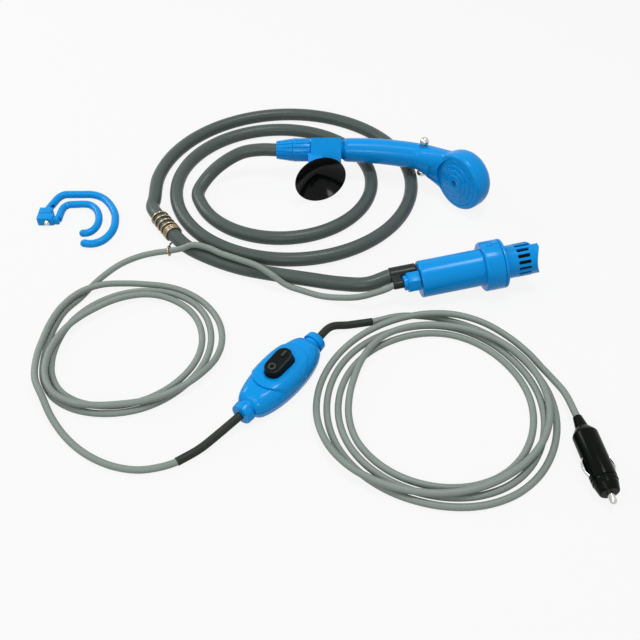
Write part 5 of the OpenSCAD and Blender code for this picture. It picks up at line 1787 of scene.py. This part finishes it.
    def _studs(self) -> None:
        """Chrome ball studs above and below the neck."""
        form = Shape()
        ball, (stem_r, stem_l), steps = self.ball_r, self.stem, 24
        centre, low = stem_l + ball - 1.4, math.asin(stem_r / ball)
        arc = [(ball * math.sin(a), centre - ball * math.cos(a)) for a in
               (low + (math.pi - low) * i / steps for i in range(steps))]
        for k in (-1, 1):
            at = shift(k * (self.neck_r - 5.5), self.neck_y, self.handle_l) @ turn(90 * k, "Y")
            form.lathe([(0, 0), (stem_r, 0), *arc, (0, centre + ball)], at, 48)
        settle(form.made("ball_studs"), self.frame, CHROME, Body.KIT, ["ball_studs"])

    def _holder(self) -> None:
        """Holder block that clips on the handle, with its suction cup."""
        s, end, r = self.holder_s, self.holder_s + self.holder_l, self.holder_r
        cup = (shift(self.place[2] - self.cup_r - 0.4, 0, s + self.holder_l / 2 - self.cup_back)
               @ turn(self.cup_tilt, "X"))
        edge = [(-r - 5.5, -3.7), (1.2, -r - 12), (r + 1.2, -r - 12), (r + 1.2, -3), (r - 1, 3), (-r + 1, 3)]
        block = Shape().prism(edge, self.holder_l, shift(0, 0, s)).made("holder_clip")
        join(block, self._drum("round", r, s, end), Join.UNION)
        boss = Shape().box((-9, -9, 12), (9, 9, self.cup_base), cup).made("boss")
        join(boss, Shape().box((-60, -14, 0), (60, 60, 120)).made("clear"), Join.DIFFERENCE)
        join(boss, Shape().box((-60, -80, 0), (60, 61, s - 2.5)).made("flush"), Join.DIFFERENCE)
        join(block, boss, Join.UNION)
        join(block, self._drum("bore", self.holder_bore, s - 1, end + 1), Join.DIFFERENCE)
        join(block, Shape().box((-5.8, 4, s - 1), (5.8, 30, end + 1)).made("mouth"), Join.DIFFERENCE)
        settle(ease(block, 0.9, 3, 40.0), self.frame, BLUE, Body.HOLDER, ["holder_clip"], 40.0)
        self._cup(cup @ shift(0, 0, self.cup_base))

    def _drum(self, name: str, r: float, low: float, high: float) -> bpy.types.Object:
        """Plain round form along the handle's start."""
        return Shape().lathe([(0, low), (r, low), (r, high), (0, high)], segments=96).made(name)

    def _cup(self, at: Matrix) -> None:
        """Thin suction cup with its stem.

        Args:
            at: Axes of the cup, with z towards its mouth.
        """
        r, depth, steps = self.cup_r, self.cup_depth, 40
        outer = [(7 + (r - 7) * i / steps, depth * (i / steps) ** 1.25) for i in range(steps + 1)]
        inner = [((r - 0.5) * i / steps, 4 + (depth - 3.85) * (i / steps) ** 1.7)
                 for i in range(steps, 0, -1)]
        stem = [(0, -3.8), (5, -3.8), (5, 0)]
        bell = Shape().lathe([*stem, *outer, (r - 0.25, depth + 0.25), *inner, (0, 4)], at, 128)
        settle(bell.made("suction_cup"), self.frame, RUBBER, Body.HOLDER, ["suction_cup"], 60.0)


# Hook


@dataclass
class Hook:
    """Folding double hook, with its lugs side by side on one pin.

    Attributes:
        place: Pin in the layout, between the lugs.
        lug_t: Thickness of a lug along the pin.
        lug_h: Height of a lug.
        gap: Half of the gap between the lugs.
        pin_r: Radius of the pin.
        rod_z: Height of the rods' axes.
        outer_r: Radius of the outer rod.
        inner_r: Radius of the inner rod.
        outer: Bend of the outer rod.
        inner: Bend of the inner rod.
    """

    place: tuple[float, float, float] = (-281.2, 142.4, 0.0)
    lug_t: float = 9.0
    lug_h: float = 10.0
    gap: float = 0.2
    pin_r: float = 2.0
    rod_z: float = 4.0
    outer_r: float = 4.0
    inner_r: float = 3.8
    outer: tuple[tuple[float, float], ...] = (
        (-3.3, 5), (-3.2, 12.8), (0.1, 23.8), (3.4, 32.4), (8.2, 36.8), (16.6, 37.4), (26.9, 37.5),
        (36, 37.5), (44.6, 35), (53.1, 28.8), (61.4, 17.7), (67.4, 4.9), (69.5, -4.9), (70, -16.4),
        (67.7, -26.7), (63, -35.1), (57.2, -39.8), (50.7, -41.4), (44.2, -40.6))
    inner: tuple[tuple[float, float], ...] = (
        (10.3, -3.5), (10.5, 3), (10.8, 9), (12.2, 15.8), (16.2, 20), (23.7, 20.9), (35.9, 20.9),
        (41.8, 17.7), (47.6, 10.8), (51.4, 0.9), (52.6, -7.8), (51.5, -15.4), (48.8, -21.1),
        (44.6, -24.6), (40, -25.3))

    def build(self) -> None:
        """Make the pieces of the hook."""
        far, near = self.gap, -self.gap - self.lug_t
        self._arm("outer_hook", Body.HOOK, self.outer, self.outer_r, [
            ((-10.4, far, 0), (3.2, far + self.lug_t, self.lug_h))])
        self._arm("inner_hook", Body.INNER_HOOK, self.inner, self.inner_r, [
            ((-10.3, near, 0), (6.4, near + self.lug_t, self.lug_h)),
            ((5.4, near + 1, 0.4), (11.8, near + 7.2, 8.4))])
        head = [(3 * math.cos(a), 0.6 + 3 * math.sin(a)) for a in (math.pi / 2 * k / 8 for k in range(8))]
        length = 2 * self.lug_t + 3 * self.gap - 1
        profile = [(0, -length), (self.pin_r, -length), (self.pin_r, 0), (2.94, 0), *head, (0, 3.6)]
        pin = Shape().lathe(profile, self._pin_axis(near - self.gap), 48)
        settle(pin.made("hook_pin"), frame_at(self.place), CHROME, Body.HOOK, ["hook_pin"])

    def _pin_axis(self, y: float) -> Matrix:
        """Axes on the pin, with z towards the viewer."""
        return shift(0, y, self.lug_h / 2) @ turn(90, "X")

    def _arm(self, name: str, body: Body, bend: Sequence[Point], rod_r: float,
             blocks: Sequence[tuple[Point, Point]]) -> None:
        """Make one hook.

        Args:
            name: CAD node of the hook.
            body: Body it rides.
            bend: Bend of its rod.
            rod_r: Radius of the rod.
            blocks: Corners of its lug and of the step beside it.
        """
        knots = [(x, y, self.rod_z) for x, y in bend]
        rod = RodAlongPath.make(name, smooth_path(knots, 6), rod_r, BLUE, 32)
        dome = [(rod_r * math.cos(a), rod_r * math.sin(a)) for a in
                (math.pi * k / 16 - math.pi / 2 for k in range(1, 16))]
        ball = Shape().lathe([(0, -rod_r), *dome, (0, rod_r)], shift(*knots[-1]), 32)
        join(rod, ball.made("end"), Join.UNION)
        for low, high in blocks:
            join(rod, ease(Shape().box(low, high).made("lug"), 1.0, 3), Join.UNION)
        hole_r = self.pin_r + 0.06
        hole = Shape().lathe([(0, -20), (hole_r, -20), (hole_r, 20), (0, 20)], self._pin_axis(0.0), 32)
        join(rod, hole.made("hole"), Join.DIFFERENCE)
        settle(rod, frame_at(self.place), BLUE, body, [name], 40.0)


# Stage


def seen_rays(nodes: bpy.types.Nodes, links: bpy.types.NodeLinks) -> bpy.types.NodeSocket:
    """Mask of the rays that show the background: straight, mirrored and through glass.

    Args:
        nodes: Nodes of the floor's material or of the world.
        links: Their links.

    Returns:
        The socket of the mask.
    """
    rays = nodes.new("ShaderNodeLightPath")
    mask = rays.outputs["Is Camera Ray"]
    for name in ("Is Glossy Ray", "Is Transmission Ray"):
        either = nodes.new("ShaderNodeMath")
        either.operation = "MAXIMUM"
        links.new(mask, either.inputs[0])
        links.new(rays.outputs[name], either.inputs[1])
        mask = either.outputs[0]
    return mask


@dataclass(frozen=True)
class Lamp:
    """Square lamp that faces the middle of the floor.

    Attributes:
        name: Name of the lamp.
        place: Middle of the lamp, in metres.
        size: Width of the lamp, in metres.
        power: Power in watts.
    """

    name: str
    place: tuple[float, float, float]
    size: float
    power: float

    def build(self) -> None:
        """Make the lamp."""
        light = bpy.data.lights.new(self.name, "AREA")
        light.shape, light.size, light.energy = "SQUARE", self.size, self.power
        lamp = bpy.data.objects.new(self.name, light)
        lamp.location = self.place
        lamp.rotation_euler = (-Vector(self.place)).to_track_quat("-Z", "Y").to_euler()
        bpy.context.scene.collection.objects.link(lamp)


@dataclass(frozen=True)
class Studio:
    """Pale floor and soft light.

    Attributes:
        floor_size: Width of the floor in metres.
        floor_fill: Share of plain white that is seen on the floor.
        sky: Strength of the surrounding white.
        lamps: The lamps.
    """

    floor_size: float = 12.0
    floor_fill: float = 0.88
    sky: float = 0.3
    lamps: tuple[Lamp, ...] = (
        Lamp("key", (0.25, 0.05, 1.5), 0.4, 12.0), Lamp("side", (-1.0, 0.55, 0.65), 0.45, 5.5),
        Lamp("fill", (-0.8, -0.6, 1.3), 0.7, 4.5), Lamp("front", (-0.1, -1.3, 0.8), 0.35, 4.5))

    def build(self) -> None:
        """Make the floor, the lights and the surroundings."""
        half = self.floor_size / 2
        data = bpy.data.meshes.new("floor")
        corners = [(-half, -half, 0), (half, -half, 0), (half, half, 0), (-half, half, 0)]
        data.from_pydata(corners, [], [(0, 1, 2, 3)])
        floor = bpy.data.objects.new("floor", data)
        data.materials.append(self._floor_material())
        bpy.context.scene.collection.objects.link(floor)
        for lamp in self.lamps:
            lamp.build()
        self._world()

    def _floor_material(self) -> bpy.types.Material:
        """Matt white that is seen nearly plain.

        Returns:
            The material.
        """
        material = bpy.data.materials.new("floor_white")
        material.use_nodes = True
        nodes, links = material.node_tree.nodes, material.node_tree.links
        shader = nodes["Principled BSDF"]
        shader.inputs["Base Color"].default_value = (0.5, 0.5, 0.5, 1.0)
        shader.inputs["Roughness"].default_value = 0.95
        glow, mixed = nodes.new("ShaderNodeEmission"), nodes.new("ShaderNodeMixShader")
        share = nodes.new("ShaderNodeMath")
        share.operation = "MULTIPLY"
        share.inputs[1].default_value = self.floor_fill
        links.new(seen_rays(nodes, links), share.inputs[0])
        links.new(share.outputs[0], mixed.inputs["Fac"])
        links.new(shader.outputs[0], mixed.inputs[1])
        links.new(glow.outputs[0], mixed.inputs[2])
        links.new(mixed.outputs[0], nodes["Material Output"].inputs["Surface"])
        return material

    def _world(self) -> None:
        """White surroundings, seen as plain white."""
        world = bpy.data.worlds.new("studio")
        bpy.context.scene.world = world
        world.use_nodes = True
        nodes, links = world.node_tree.nodes, world.node_tree.links
        back = nodes["Background"]
        level = nodes.new("ShaderNodeMix")
        level.inputs["A"].default_value, level.inputs["B"].default_value = self.sky, 1.0
        links.new(seen_rays(nodes, links), level.inputs["Factor"])
        links.new(level.outputs["Result"], back.inputs["Strength"])
        back.inputs["Color"].default_value = (1.0, 1.0, 1.0, 1.0)


NODE_FINISH: dict[str, Finish] = {
    "motor_capsule": WHITE, "capsule_cover": WHITE, "motor_can": STEEL, "motor_end_cap": BLACK,
    "motor_magnets": STEEL, "armature": COPPER, "motor_shaft": STEEL, "shaft_seal": RUBBER, "impeller": WHITE,
    "inlet_plate": BLUE, "gland_grommet": RUBBER, "cable_stub": CABLE_GREY, "rocker_pin": STEEL,
    "contact_block": BLACK, "cover_screws": STEEL, "tip_spring": STEEL, "fuse": GLASS, "hose_insert": WHITE,
    "rose_gasket": RUBBER, "filter_sleeve": BLACK,
}


def dress_nodes(frame: dict) -> None:
    """Give the CAD nodes that stay their finish.

    Args:
        frame: The loaded frame.
    """
    for name, node in frame["nodes"].items():
        finish = NODE_FINISH.get(name)
        if finish:
            node.data.materials.clear()
            node.data.materials.append(finish.material())


def main() -> None:
    """Build the dressed model."""
    logging.basicConfig(level=logging.INFO, format="%(name)s %(message)s")
    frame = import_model()
    View().build()
    pump, switch, plug = Pump(), Switch(), Plug()
    switch.build()
    plug.build()
    Cords().build(pump, switch, plug)
    pump.build()
    Handset().build()
    Hook().build()
    dress_nodes(frame)
    Studio().build()


if __name__ == "__main__":
    main()
